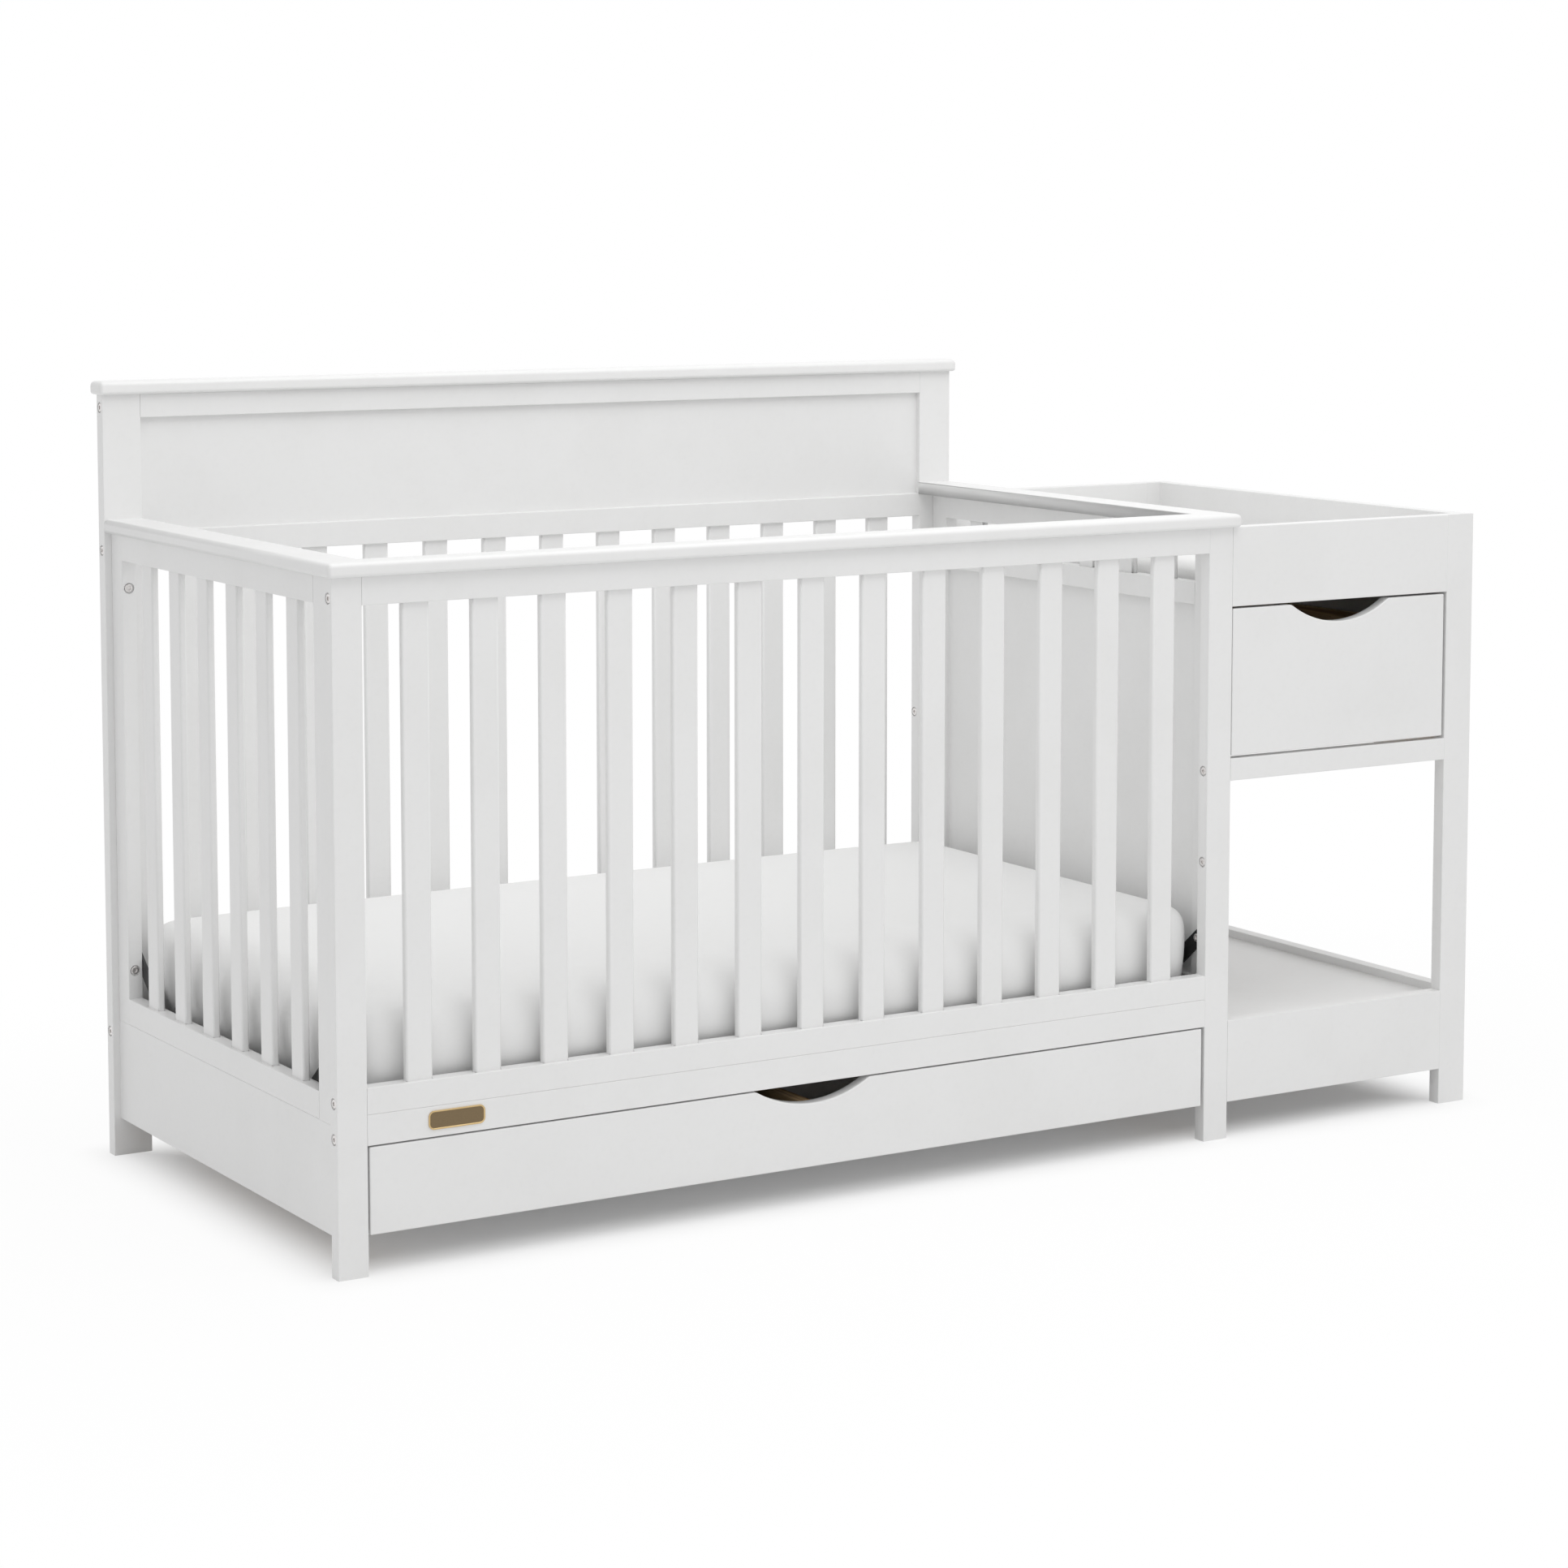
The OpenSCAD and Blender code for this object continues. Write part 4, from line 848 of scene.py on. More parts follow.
@dataclass
class CarriedBoards:
    """The CAD's own nodes: each keeps its shape and gets the finish of its slot and grain."""

    nodes: dict[str, Piece]
    slots: dict[str, str]
    upright: tuple[str, ...] = ("slats", "stiles", "leg", "post")
    boards: dict[str, dict[Grain, Finish]] = field(default_factory=lambda: {
        "white_paint": LACQUER, "natural_wood": WOOD})
    others: dict[str, Finish] = field(default_factory=lambda: {
        "black_steel": BLACK_STEEL, "bolt_steel": NICKEL, "zinc_steel": ZINC, "nylon": NYLON,
        "mattress_fabric": TICKING, "pad_vinyl": PAD_COVER})

    def grain_of(self, name: str) -> Grain:
        """Finds the way that a board's grain runs.

        Args:
            name: The board's node.

        Returns:
            Upwards for posts and slats, else the longer side of its plan.
        """
        low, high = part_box(name)
        if any(word in name for word in self.upright):
            return Grain.ALONG_Z
        return Grain.ALONG_X if high.x - low.x >= high.y - low.y else Grain.ALONG_Y

    def dress(self) -> None:
        """Writes every node's material slots."""
        for name, node in self.nodes.items():
            slot = self.slots[name]
            by_grain = self.boards.get(slot)
            finish = by_grain[self.grain_of(name)] if by_grain else self.others[slot]
            material = finish.material()
            if not node.material_slots:
                node.data.materials.append(material)
            for held in node.material_slots:
                held.material = material
        LOG.info("%d CAD nodes dressed", len(self.nodes))


# --- Caps -----------------------------------------------------------------------------------------


@dataclass
class Caps:
    """The moulded caps: one run round the crib's front and sides, and one on the headboard."""

    top_round: float = 6.5 * MM
    under_share: float = 0.70
    corner_share: float = 0.80
    ease_share: float = 0.20
    segments: int = 8
    flat_angle: float = 0.01

    def build(self) -> None:
        """Builds both caps."""
        self._crib_run()
        self._headboard()

    def _crib_run(self) -> None:
        """Makes a U in plan: the front cap, with a side cap drawn back from each end."""
        low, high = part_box("front_cap")
        inner, back = (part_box("left_cap")[1].x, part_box("right_cap")[0].x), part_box("left_cap")[1].y
        cap = Bench.block("crib_cap_run", low, high)
        with Bench.editing(cap):
            for x in inner:
                Bench.slice_at(x)
            Bench.pick(cap, "FACE", lambda f: f.normal.y > FACES and not (
                inner[0] < f.calc_center_median().x < inner[1]))
            Bench.extrude((0.0, back - high.y, 0.0))
            Bench.pick(cap, "EDGE", lambda e: len(e.link_faces) == 2
                       and e.calc_face_angle(1.0) < self.flat_angle)
            bpy.ops.mesh.dissolve_edges(use_verts=False, use_face_split=False)

        def sides(p: Vector) -> int:
            """Counts the outer sides of the U that a point lies on."""
            return (abs(p.y - low.y) < NEAR) + (min(abs(p.x - low.x), abs(p.x - high.x)) < NEAR)

        self._round(cap, sides, back - NEAR)
        hand_over(cap, "carcass", "white_paint", "front_cap", "left_cap", "right_cap")

    def _headboard(self) -> None:
        """Makes a straight cap, rounded all round."""
        cap = Bench.block("headboard_cap_moulded", *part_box("headboard_cap"))
        self._round(cap, lambda p: 2, math.inf)
        hand_over(cap, "carcass", "white_paint", "headboard_cap")

    def _round(self, cap: Piece, sides: Callable[[Vector], int], joint: float) -> None:
        """Rounds a cap's edges and coats it: in full on outer top edges, and less elsewhere.

        Args:
            cap: The cap with sharp edges.
            sides: Counts the outer sides that a point lies on; 2 is a corner.
            joint: The Y behind which the cap meets the headboard and stays sharp.
        """
        heights = [vertex.co.z for vertex in cap.data.vertices]
        top, bottom = max(heights), min(heights)

        def share(a: Vector, b: Vector) -> float:
            """Gives one edge its share of the full round.

            Args:
                a: One end of the edge.
                b: The other end.

            Returns:
                The share.
            """
            middle = (a + b) / 2
            if min(a.y, b.y) > joint:
                return 0.0
            if abs(a.z - b.z) > TOUCH:
                return self.corner_share if sides(middle) > 1 else 0.0
            if sides(middle):
                return self.under_share if abs(middle.z - bottom) < TOUCH else 1.0
            return self.ease_share if abs(middle.z - top) < TOUCH else 0.0

        Bench.weigh(cap, share)
        Bench.soften(cap, self.top_round, self.segments)
        Bench.coat(cap, LACQUER[Grain.ALONG_X])


# --- Slats ----------------------------------------------------------------------------------------


@dataclass
class SlatRow:
    """A row of equal slats with rounded long edges, in place of one CAD node."""

    node: str
    count: int
    axis: int = 0
    radius: float = 3.0 * MM
    segments: int = 6
    width: float = 37.0 * MM

    def build(self) -> None:
        """Models one slat and copies it along the row."""
        low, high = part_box(self.node)
        far, step = list(high), Vector()
        far[self.axis] = low[self.axis] + self.width
        step[self.axis] = (high[self.axis] - low[self.axis] - self.width) / (self.count - 1)
        slat = Bench.block(f"{self.node}_first", low, far)
        Bench.weigh(slat, lambda a, b: float(abs(a.z - b.z) > NEAR))
        Bench.soften(slat, self.radius, self.segments)
        row = [slat] + [Bench.copy(slat, f"{self.node}_{i}", Matrix.Translation(step * i))
                        for i in range(1, self.count)]
        piece = Bench.join(row, f"{self.node}_rounded")
        Bench.coat(piece, LACQUER[Grain.ALONG_Z])
        hand_over(piece, "carcass", "white_paint", self.node)


# --- Drawers --------------------------------------------------------------------------------------


@dataclass
class Drawer:
    """A drawer's front with its finger scoop, and the box behind it."""

    prefix: str
    scoop_width: float
    scoop_depth: float
    blend_round: float = 10.0 * MM
    arc_steps: int = 30
    blend_steps: int = 7
    edge_round: float = 1.8 * MM
    edge_angle: float = 40.0
    edge_steps: int = 4
    side_thick: float = 12.0 * MM
    side_round: float = 1.6 * MM
    side_angle: float = 35.0
    side_steps: int = 3

    def build(self) -> None:
        """Builds the front and the box."""
        self._front()
        self._box()

    def _profile(self) -> list[tuple[float, float]]:
        """Finds the scoop's curve: an arc with a blend at each end.

        Returns:
            Points across the scoop, each with its distance from the middle and its depth.
        """
        half, d, b = self.scoop_width / 2, self.scoop_depth, self.blend_round
        arc = (half * half + d * d) / (2 * d) - b
        reach = math.asin(half / (arc + b))
        turns = [reach * i / self.blend_steps for i in range(self.blend_steps + 1)]
        blend = [(half - b * math.sin(turn), b - b * math.cos(turn)) for turn in turns]
        turns = [reach * (1 - 2 * i / self.arc_steps) for i in range(1, self.arc_steps)]
        middle = [(arc * math.sin(turn), d - arc + arc * math.cos(turn)) for turn in turns]
        return blend + middle + [(-x, z) for x, z in reversed(blend)]

    def _front(self) -> None:
        """Slices a board where the scoop runs and lowers the slices' tops to its curve."""
        node = f"{self.prefix}_front"
        low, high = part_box(node)
        middle = (low.x + high.x) / 2
        board = Bench.block(f"{node}_scooped", low, high)
        profile = self._profile()
        with Bench.editing(board):
            for x, _ in profile:
                Bench.slice_at(middle + x)
            mesh = bmesh.from_edit_mesh(board.data)
            for vertex in mesh.verts:
                across = vertex.co.x - middle
                if vertex.co.z > high.z - TOUCH and abs(across) < self.scoop_width / 2:
                    vertex.co.z = high.z - min(profile, key=lambda p: abs(p[0] - across))[1]
            bmesh.update_edit_mesh(board.data)
        Bench.soften(board, self.edge_round, self.edge_steps, self.edge_angle)
        Bench.coat(board, LACQUER[Grain.ALONG_X])
        hand_over(board, self.prefix, "white_paint", node)

    def _box(self) -> None:
        """Makes two sides and a back of solid wood, each with its own grain."""
        node = f"{self.prefix}_box"
        low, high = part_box(node)
        t = self.side_thick
        plan = [(Grain.ALONG_Y, low, (low.x + t, high.y, high.z)),
                (Grain.ALONG_Y, (high.x - t, low.y, low.z), high),
                (Grain.ALONG_X, (low.x + t, high.y - t, low.z), (high.x - t, high.y, high.z))]
        made = []
        for number, (grain, corner, far) in enumerate(plan):
            board = Bench.block(f"{node}_{number}", corner, far)
            Bench.soften(board, self.side_round, self.side_steps, self.side_angle)
            made.append(Bench.coat(board, WOOD[grain]))
        hand_over(Bench.join(made, f"{node}_boards"), self.prefix, "natural_wood", node)


# --- Bolts, plate and rollers ---------------------------------------------------------------------


class Facing(Enum):
    """The way that a bolt's head looks."""

    LEFT = (-1.0, 0.0, 0.0)
    RIGHT = (1.0, 0.0, 0.0)
    FRONT = (0.0, -1.0, 0.0)
    BACK = (0.0, 1.0, 0.0)

    def turn(self) -> Matrix:
        """Turns +Z to this way."""
        up = Vector((0.0, 0.0, 1.0))
        return up.rotation_difference(Vector(self.value)).to_matrix().to_4x4()


@dataclass(frozen=True)
class Spot:
    """Where a bolt sits: the middle of its head's face, the way that looks, and its length."""

    face: Vector
    way: Facing
    length: float


@dataclass
class Bolts:
    """Bolts with a domed head and a hexagon socket, found by the heads in the CAD node."""

    node: str = "frame_bolts"
    head_radius: float = 6.0 * MM
    head_thick: float = 2.7 * MM
    head_sides: int = 56
    head_share: float = 0.9
    dome: float = 1.5 * MM
    dome_steps: int = 5
    socket: float = 3.0 * MM
    socket_depth: float = 2.1 * MM
    socket_over: float = 1.0 * MM
    socket_sides: int = 6
    shank: float = 3.0 * MM
    filler: float = 3.24 * MM
    filler_thick: float = 1.2 * MM
    edge_round: float = 0.3 * MM
    edge_angle: float = 28.0
    edge_steps: int = 3
    digits: int = 4

    def build(self, solid: Piece) -> None:
        """Copies one model per length to every spot.

        Args:
            solid: The CAD node that holds all bolts.
        """
        models: dict[float, Piece] = {}
        copies = []
        for number, spot in enumerate(self._spots(solid)):
            length = round(spot.length, self.digits)
            if length not in models:
                models[length] = self._model(length)
            copies.append(Bench.copy(models[length], f"bolt_{number}",
                                     Matrix.Translation(spot.face) @ spot.way.turn()))
        for model in models.values():
            bpy.data.objects.remove(model)
        piece = Bench.join(copies, "socket_head_bolts")
        hand_over(piece, "carcass", "bolt_steel", self.node)

    def _model(self, length: float) -> Piece:
        """Makes one bolt along +Z, with the top of its head at z = 0 and its shank below.

        Its end has a plug of filler, which closes the bore of a bolt that goes right through a
        board.

        Args:
            length: The bolt's length over all.

        Returns:
            The bolt.
        """
        bolt = Bench.drum("bolt_head", self.head_radius, -self.head_thick, 0.0, self.head_sides)
        plug_top = self.filler_thick - length
        with Bench.editing(bolt):
            Bench.pick(bolt, "EDGE", lambda e: all(v.co.z > -TOUCH for v in e.verts))
            bpy.ops.mesh.bevel(offset=self.dome, segments=self.dome_steps, profile=0.5,
                               affect="EDGES")
            Bench.pick(bolt, "FACE", lambda f: f.normal.z < -FACES)
            bpy.ops.mesh.inset(thickness=self.head_radius - self.shank)
            Bench.extrude((0.0, 0.0, plug_top + self.head_thick))
            Bench.extrude((0.0, 0.0, 0.0))
            bpy.ops.transform.resize(value=[self.filler / self.shank] * 2 + [1.0])
            Bench.extrude((0.0, 0.0, -self.filler_thick))
        Bench.carve(bolt, Bench.drum("socket_tool", self.socket, -self.socket_depth,
                                     self.socket_over, self.socket_sides))
        Bench.soften(bolt, self.edge_round, self.edge_steps, self.edge_angle)
        Bench.coat(bolt, NICKEL, LACQUER[Grain.ALONG_Z])
        for face in bolt.data.polygons:
            face.material_index = int(face.center.z < plug_top)
        return bolt

    def _spots(self, solid: Piece) -> list[Spot]:
        """Finds each bolt of the CAD node as a set of joined points.

        Args:
            solid: The CAD node.

        Returns:
            The bolts' spots, from left to right.
        """
        mesh = bmesh.new()
        mesh.from_mesh(solid.data)
        bmesh.ops.remove_doubles(mesh, verts=mesh.verts, dist=WELD)
        left, spots = set(mesh.verts), []
        while left:
            stack, island = [left.pop()], []
            while stack:
                vertex = stack.pop()
                island.append(vertex.co.copy())
                joined = {edge.other_vert(vertex) for edge in vertex.link_edges} & left
                left -= joined
                stack.extend(joined)
            spots.append(self._spot(island))
        mesh.free()
        return sorted(spots, key=lambda s: (round(s.face.x, self.digits),
                                            round(s.face.y, self.digits), s.face.z))

    def _spot(self, island: list[Vector]) -> Spot:
        """Reads one bolt from its points: its head is at the wider end.

        Args:
            island: The bolt's points.

        Returns:
            Its spot.
        """
        low, high = (Vector([pick(p[i] for p in island) for i in range(3)]) for pick in (min, max))
        axis = 0 if high.x - low.x > high.y - low.y else 1
        centre = (low + high) / 2
        across = Vector([float(i != axis) for i in range(3)])
        least = self.head_radius * self.head_share
        wide = [p for p in island if ((p - centre) * across).length > least]
        at_low = sum(p[axis] for p in wide) / len(wide) < centre[axis]
        face = centre.copy()
        face[axis] = (low if at_low else high)[axis]
        ways = ((Facing.RIGHT, Facing.LEFT), (Facing.BACK, Facing.FRONT))
        return Spot(face, ways[axis][at_low], high[axis] - low[axis])


@dataclass
class BlankPlate:
    """A small blank plate on the rail over the drawer, with a raised rim."""

    centre: tuple[float, float] = (-0.738, 0.18575)
    size: tuple[float, float] = (78.0 * MM, 24.0 * MM)
    thick: float = 1.6 * MM
    corner: float = 7.5 * MM
    corner_steps: int = 10
    rim: float = 1.5 * MM
    slope: float = 0.4 * MM
    sunk: float = 0.6 * MM
    edge_round: float = 0.25 * MM
    edge_angle: float = 35.0
    edge_steps: int = 2

    def build(self) -> None:
        """Makes a rounded plate whose field is sunk and darkened."""
        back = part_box("front_lower_rail")[0].y
        face = back - self.thick
        (x, z), (w, h) = self.centre, self.size
        plate = Bench.block("blank_plate", (x - w / 2, face, z - h / 2),
                            (x + w / 2, back, z + h / 2))
        with Bench.editing(plate, "EDGE"):
            Bench.pick_along(plate, 1)
            bpy.ops.mesh.bevel(offset=self.corner, segments=self.corner_steps, profile=0.5,
                               affect="EDGES")
            Bench.pick(plate, "FACE", lambda f: f.normal.y < -FACES)
            bpy.ops.mesh.inset(thickness=self.rim, depth=0.0)
            bpy.ops.mesh.inset(thickness=self.slope, depth=-self.sunk)
        Bench.soften(plate, self.edge_round, self.edge_steps, self.edge_angle)
        Bench.coat(plate, PLATE_RIM, PLATE_FIELD)
        for polygon in plate.data.polygons:
            in_field = polygon.center.y > face + self.sunk / 2 and polygon.normal.y < -FACES
            polygon.material_index = int(in_field)
        hand_over(plate, "carcass", "bolt_steel")


@dataclass
class Rollers:
    """Nylon rollers with a crowned tread and sunk webs, in place of one CAD node."""

    node: str
    body: str
    width: float = 5.0 * MM
    bore: float = 2.58 * MM
    hub: float = 4.4 * MM
    web: tuple[float, float] = (4.8 * MM, 7.2 * MM)
    web_sunk: float = 0.9 * MM
    flange: float = 7.6 * MM
    radius: float = 9.0 * MM
    tread_round: float = 0.7 * MM
    steps: int = 48
    smooth_angle: float = 38.0

    def build(self) -> None:
        """Copies one wheel to both ends of the pair."""
        low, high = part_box(self.node)
        y, z = (low.y + high.y) / 2, (low.z + high.z) / 2
        wheel = self._wheel()
        ends = (low.x + self.width / 2, high.x - self.width / 2)
        pair = [Bench.copy(wheel, f"{self.node}_{i}", Matrix.Translation((x, y, z)))
                for i, x in enumerate(ends)]
        bpy.data.objects.remove(wheel)
        piece = Bench.join(pair, f"{self.node}_turned")
        Bench.coat(piece, NYLON)
        hand_over(piece, self.body, "nylon", self.node)

    def _wheel(self) -> Piece:
        """Turns one profile round the X axis.

        Returns:
            The wheel, centred on the origin.
        """
        left = -self.width / 2
        half = [(self.bore, left), (self.hub, left), (self.web[0], left + self.web_sunk),
                (self.web[1], left + self.web_sunk), (self.flange, left),
                (self.radius - self.tread_round, left), (self.radius, left + self.tread_round)]
        profile = half + [(radial, -across) for radial, across in reversed(half)]
        wheel = Bench.start(f"{self.node}_wheel", bpy.ops.mesh.primitive_plane_add, size=1.0)
        with Bench.editing(wheel, "VERT"):
            bpy.ops.mesh.select_all(action="SELECT")
            bpy.ops.mesh.delete(type="VERT")
            mesh = bmesh.from_edit_mesh(wheel.data)
            ring = [mesh.verts.new((across, radial, 0.0)) for radial, across in profile]
            for pair in zip(ring, ring[1:] + ring[:1]):
                mesh.edges.new(pair)
            bmesh.update_edit_mesh(wheel.data)
            bpy.ops.mesh.select_all(action="SELECT")
            bpy.ops.mesh.spin(steps=self.steps, angle=math.tau, center=(0, 0, 0), axis=(1, 0, 0))
            bpy.ops.mesh.select_all(action="SELECT")
            bpy.ops.mesh.remove_doubles(threshold=WELD)
            bpy.ops.mesh.normals_make_consistent(inside=False)
        Bench.only(wheel)
        bpy.ops.object.shade_smooth_by_angle(angle=math.radians(self.smooth_angle))
        return wheel


# --- Soft goods -----------------------------------------------------------------------------------


@dataclass(frozen=True)
class Stuffing:
    """How a stuffed cover is cut and how full it is, in metres."""

    corner: float  # radius of the upright corners
    rim: float  # radius round the top
    foot: float  # radius round the underside
    draw_in: float  # how far the sides pull in between the corners
    taper: float  # how far they lean in towards the underside
    crown: float  # how far the top rises over its rim before it is inflated
    voxel: float  # size of the cover's cells
    shrink: float  # how much smaller than its room the cover starts
    cap: float  # the most that a point may move when it is inflated
    proud: float  # how far the crown stands over its solid in the end
    welt: float  # radius of the cord in the seam
    welt_up: float  # the seam's height over the underside
    pressure: float  # of the simulation
    fill: float  # from 0, slack, to 1, tight


@dataclass
class StuffedPiece:
    """A stuffed cover with a corded seam, inflated in a cloth simulation over a flat underside."""

    node: str
    body: str
    slot: str
    finish: Finish
    stuffing: Stuffing
    frames: int = 20  # of the simulation
    corner_steps: int = 12
    rim_steps: int = 10
    waist: float = 0.6  # share of the height under which the sides lean in
    lean_power: float = 1.5
    side_power: int = 6  # how close to the sides the pull stays
    dome_power: float = 0.35  # under 1, the top is flat in its middle
    dome_from: float = 0.5  # share of the height over which points rise with the top
    dome_rate: float = 2.5
    pinned: float = 1.0 * MM  # height of the underside that stays in place
    quick_voxel: float = 1.5  # factor on the cells
    smooth: float = 0.5
    smooth_steps: int = 3
    seam_steps: int = 4
    seam_weld: float = 0.45  # share of a cell within which the seam's points merge
    welt_steps: int = 2
    cloth: dict[str, float] = field(default_factory=lambda: {
        "quality": 6, "mass": 0.3, "tension_stiffness": 22.0, "compression_stiffness": 22.0,
        "shear_stiffness": 8.0, "bending_stiffness": 1.2})

    def build(self) -> None:
        """Models, inflates, seams and dresses the cover."""
        low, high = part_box(self.node)
        piece = self._cut(low, high)
        self._pull_in(piece, low, high)
        self._inflate(piece)
        Bench.modify(piece, "SMOOTH", factor=self.smooth, iterations=self.smooth_steps)
        Bench.modify(piece, "SUBSURF", levels=1, render_levels=1)
        welt = self._welt(piece, low.z + self.stuffing.welt_up)
        Bench.join([piece, welt], f"{self.node}_stuffed")
        self._fit(piece, low, high + Vector((0.0, 0.0, self.stuffing.proud)))
        Bench.only(piece)
        bpy.ops.object.shade_smooth()
        Bench.coat(piece, self.finish)
        hand_over(piece, self.body, self.slot, self.node)

    def _cut(self, low: Vector, high: Vector) -> Piece:
        """Cuts the empty cover: a block with round corners and rims, remeshed into even cells.

        Args:
            low: The lowest corner of its room.
            high: The highest corner.

        Returns:
            The cover.
        """
        s = self.stuffing
        inset, top = Vector((s.shrink, s.shrink, 0.0)), Vector((0.0, 0.0, s.crown))
        piece = Bench.block(f"{self.node}_cover", low + inset, high - inset - top)
        with Bench.editing(piece, "EDGE"):
            Bench.pick_along(piece, 2)
            bpy.ops.mesh.bevel(offset=s.corner, segments=self.corner_steps, profile=0.5,
                               affect="EDGES")
            for radius, up in ((s.foot, -1.0), (s.rim, 1.0)):
                Bench.pick(piece, "EDGE", lambda e: (
                    any(f.normal.z * up > FACES for f in e.link_faces)
                    and any(abs(f.normal.z) < SIDEWAYS for f in e.link_faces)))
                bpy.ops.mesh.bevel(offset=radius, segments=self.rim_steps, profile=0.5,
                                   affect="EDGES")
        Bench.modify(piece, "REMESH", mode="VOXEL", use_smooth_shade=True,
                     voxel_size=s.voxel * 1.0)
        return piece

    def _pull_in(self, piece: Piece, low: Vector, high: Vector) -> None:
        """Pulls the sides in between corners and towards the underside, and lifts the top.

        Args:
            piece: The cover.
            low: The lowest corner of its room.
            high: The highest corner.
        """
        s = self.stuffing
        middle, half = (low + high) / 2, (high - low) / 2
        for vertex in piece.data.vertices:
            p = vertex.co
            u, v = (p.x - middle.x) / half.x, (p.y - middle.y) / half.y
            inside_u, inside_v = max(0.0, 1 - u * u), max(0.0, 1 - v * v)
            up = (p.z - low.z) / (high.z - low.z)
            lean = s.taper * max(0.0, 1 - up / self.waist) ** self.lean_power
            p.x -= math.copysign((s.draw_in * inside_v + lean) * abs(u) ** self.side_power, u)
            p.y -= math.copysign((s.draw_in * inside_u + lean) * abs(v) ** self.side_power, v)
            lift = min(1.0, max(0.0, up - self.dome_from) * self.dome_rate)
            p.z += s.crown * (inside_u * inside_v) ** self.dome_power * lift
        piece.data.update()

    def _inflate(self, piece: Piece) -> None:
        """Swells the cover from its pinned underside and caps how far a point may move.

        Args:
            piece: The cover.
        """
        s, scene = self.stuffing, bpy.context.scene
        rest = [vertex.co.copy() for vertex in piece.data.vertices]
        floor = min(p.z for p in rest) + self.pinned
        underside = piece.vertex_groups.new(name="underside")
        underside.add([i for i, p in enumerate(rest) if p.z < floor], 1.0, "REPLACE")
        cloth = piece.modifiers.new("Cloth", "CLOTH")
        wanted = {**self.cloth, "use_pressure": True, "uniform_pressure_force": s.pressure,
                  "vertex_group_mass": underside.name}
        for name, value in wanted.items():
            setattr(cloth.settings, name, value)
        cloth.settings.effector_weights.gravity = 0.0
        cloth.collision_settings.use_collision = False
        cloth.point_cache.frame_start, cloth.point_cache.frame_end = 1, self.frames
        for frame in range(1, self.frames + 1):
            scene.frame_set(frame)
        Bench.only(piece)
        bpy.ops.object.modifier_apply(modifier=cloth.name)
        scene.frame_set(1)
        moves = [vertex.co - start for vertex, start in zip(piece.data.vertices, rest)]
        LOG.info("%s swelled by %.1f mm at most", self.node, max(m.length for m in moves) / MM)
        for vertex, start, move in zip(piece.data.vertices, rest, moves):
            if move.length > s.cap:
                vertex.co = start + move.normalized() * s.cap
        piece.data.update()

    def _welt(self, piece: Piece, height: float) -> Piece:
        """Makes a corded seam along the outline of the cover's own section.

        Args:
            piece: The cover.
            height: The section's height.

        Returns:
            The cord.
        """
        seam = Bench.copy(piece, f"{self.node}_welt", Matrix.Identity(4))
        with Bench.editing(seam):
            bpy.ops.mesh.select_all(action="SELECT")
            bpy.ops.mesh.bisect(plane_co=(0, 0, height), plane_no=(0, 0, 1),
                                clear_inner=True, clear_outer=True)
            bpy.ops.mesh.select_all(action="SELECT")
            bpy.ops.mesh.remove_doubles(threshold=self.stuffing.voxel * self.seam_weld)
            bpy.ops.mesh.vertices_smooth(factor=self.smooth, repeat=self.seam_steps)
        Bench.only(seam)
        bpy.ops.object.convert(target="CURVE")
        seam.data.bevel_depth = self.stuffing.welt
        seam.data.bevel_resolution = self.welt_steps
        bpy.ops.object.convert(target="MESH")
        return seam

    @staticmethod
    def _fit(piece: Piece, low: Vector, high: Vector) -> None:
        """Scales the cover along each axis to fill its room.

        Args:
            piece: The cover.
            low: The lowest corner of its room.
            high: The highest corner.
        """
        points = [vertex.co for vertex in piece.data.vertices]
        for axis in range(3):
            least, most = min(p[axis] for p in points), max(p[axis] for p in points)
            share = (high[axis] - low[axis]) / (most - least)
            for p in points:
                p[axis] = low[axis] + (p[axis] - least) * share
        piece.data.update()


# --- Studio ---------------------------------------------------------------------------------------


@dataclass(frozen=True)
class Lamp:
    """One square soft lamp."""

    name: str
    place: Point
    target: Point
    side: float
    watts: float

    def hang(self) -> None:
        """Adds the lamp and turns it to its target."""
        data = bpy.data.lights.new(self.name, "AREA")
        data.shape, data.size, data.energy = "SQUARE", self.side, self.watts
        lamp = bpy.data.objects.new(self.name, data)
        bpy.context.scene.collection.objects.link(lamp)
        lamp.location = self.place
        away = Vector(self.place) - Vector(self.target)
        lamp.rotation_euler = away.to_track_quat("Z", "Y").to_euler()


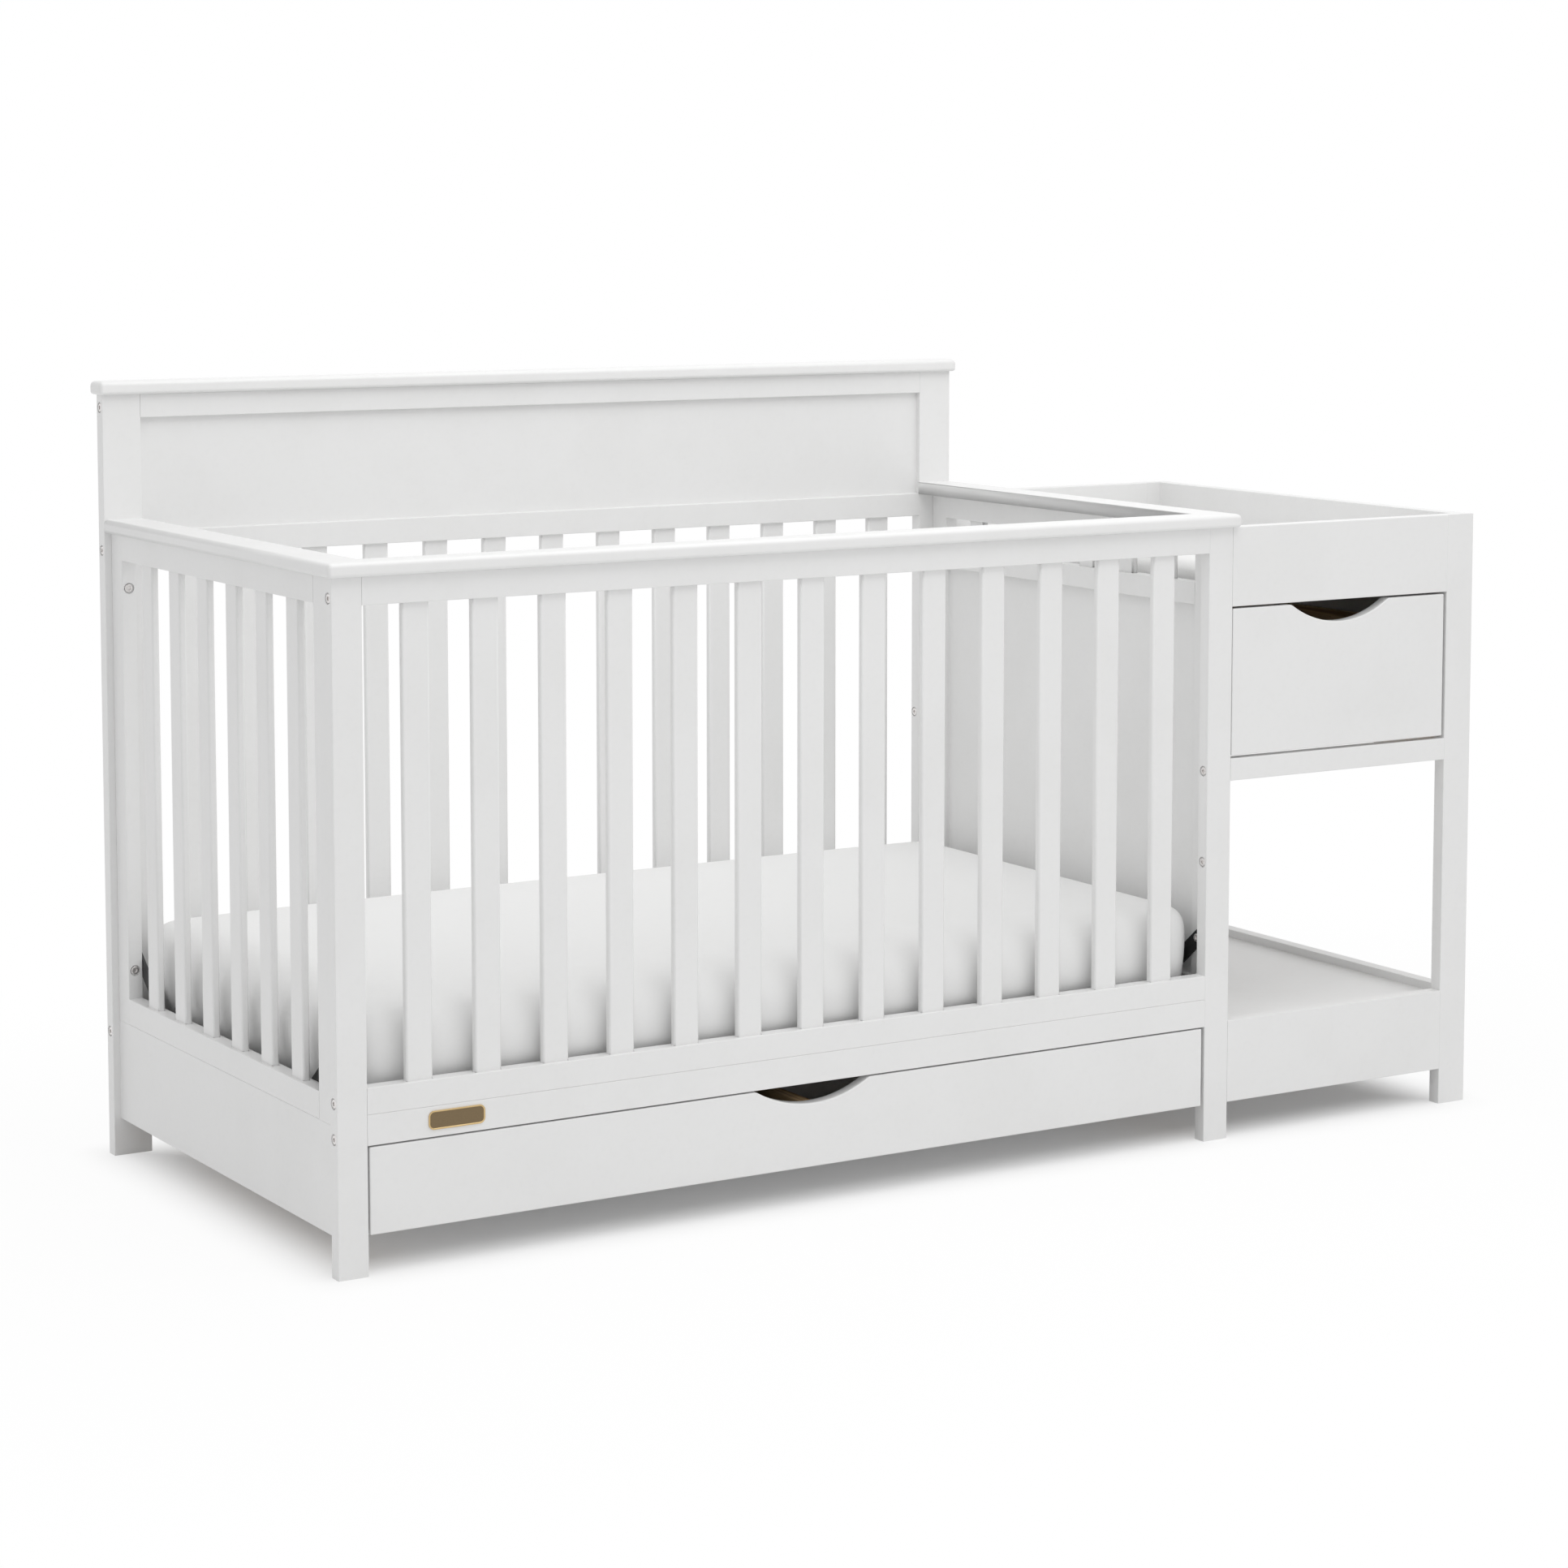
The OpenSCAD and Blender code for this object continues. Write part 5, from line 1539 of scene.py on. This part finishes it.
@dataclass
class Studio:
    """Camera at the photograph's angle, lamp, world and floor."""

    picture_px: float = 1932.0
    focal_px: float = 4655.9
    shift_px: float = -270.0
    sensor_mm: float = 36.0
    clip_end: float = 200.0
    heading: float = math.radians(-31.33)
    pitch: float = math.radians(-5.539)
    eye: Point = (-2.7937, -4.5342, 1.3259)
    floor_side: float = 60.0
    ambient: float = 0.70
    side_glow: float = 0.34
    lamp: Lamp = Lamp("overhead_softbox", (0.0, -0.9, 2.9), (0.0, 0.0, 0.5), side=2.2, watts=26.0)

    def build(self) -> None:
        """Sets up the whole studio."""
        self._camera()
        self._world()
        self._floor()
        self.lamp.hang()
        bpy.context.scene.view_settings.view_transform = "Standard"

    def _camera(self) -> None:
        """Adds a camera that looks a little down, with its picture shifted down to the object."""
        data = bpy.data.cameras.new("photo_camera")
        data.sensor_fit, data.sensor_width = "HORIZONTAL", self.sensor_mm
        data.lens = self.focal_px / self.picture_px * self.sensor_mm
        data.shift_y = self.shift_px / self.picture_px
        data.clip_end = self.clip_end
        camera = bpy.data.objects.new("photo_camera", data)
        bpy.context.scene.collection.objects.link(camera)
        camera.location = self.eye
        camera.rotation_euler = (math.radians(90.0) + self.pitch, 0.0, self.heading)
        bpy.context.scene.camera = camera

    def _world(self) -> None:
        """Makes a world that is white where it is seen or mirrored.

        As light it is dimmer, and brighter from the right.
        """
        world = bpy.data.worlds.new("studio_world")
        world.use_nodes = True
        bpy.context.scene.world = world
        graph = Graph(world.node_tree)
        way = graph.add("ShaderNodeTexCoord", output="Generated")
        from_right = graph.add("ShaderNodeSeparateXYZ", inputs={0: way}).most(0.0)
        light = self.ambient + from_right * self.side_glow
        sky = graph.add("ShaderNodeBackground", inputs={
            "Color": WHITE, "Strength": light + graph.seen() * (1.0 - light)})
        graph.add("ShaderNodeOutputWorld", inputs={"Surface": sky})

    def _floor(self) -> None:
        """Lays a wide floor at the height of the feet."""
        floor = Bench.start("studio_floor", bpy.ops.mesh.primitive_plane_add, size=self.floor_side)
        Bench.coat(floor, PaleFloor("pale_floor"))


# --- The whole object -----------------------------------------------------------------------------


def main() -> None:
    """Builds every sub-assembly round the frame, in order."""
    logging.basicConfig(level=logging.INFO, format="%(name)s: %(message)s")
    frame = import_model()
    Studio().build()
    slots = {part["node"]: part["material_slot"] for part in frame["record"]["subparts"]}
    CarriedBoards(frame["nodes"], slots).dress()
    Caps().build()
    for row in (SlatRow("front_slats", 13), SlatRow("headboard_slats", 13),
                SlatRow("left_slats", 6, axis=1), SlatRow("right_short_slats", 6, axis=1)):
        row.build()
    Drawer("under_drawer", scoop_width=181.0 * MM, scoop_depth=24.7 * MM).build()
    Drawer("changer_drawer", scoop_width=183.0 * MM, scoop_depth=28.0 * MM).build()
    bolts = Bolts()
    bolts.build(frame["nodes"][bolts.node])
    BlankPlate().build()
    for pair in ("under_front_roller", "under_rear_roller", "changer_front_roller",
                 "changer_rear_roller"):
        Rollers(f"{pair}s", f"{pair}_pair").build()
    StuffedPiece("mattress", "mattress_body", "mattress_fabric", TICKING, Stuffing(
        corner=34 * MM, rim=30 * MM, foot=14 * MM, draw_in=3 * MM, taper=8 * MM, crown=2 * MM,
        voxel=10 * MM, shrink=6 * MM, cap=6 * MM, proud=9 * MM, welt=2.2 * MM, welt_up=13 * MM,
        pressure=0.25, fill=0.85)).build()
    StuffedPiece("changing_pad", "pad_body", "pad_vinyl", PAD_COVER, Stuffing(
        corner=28 * MM, rim=10 * MM, foot=6 * MM, draw_in=3 * MM, taper=1 * MM, crown=4 * MM,
        voxel=6 * MM, shrink=3 * MM, cap=6 * MM, proud=2 * MM, welt=1.6 * MM, welt_up=5 * MM,
        pressure=0.8, fill=0.7)).build()


if __name__ == "__main__":
    main()
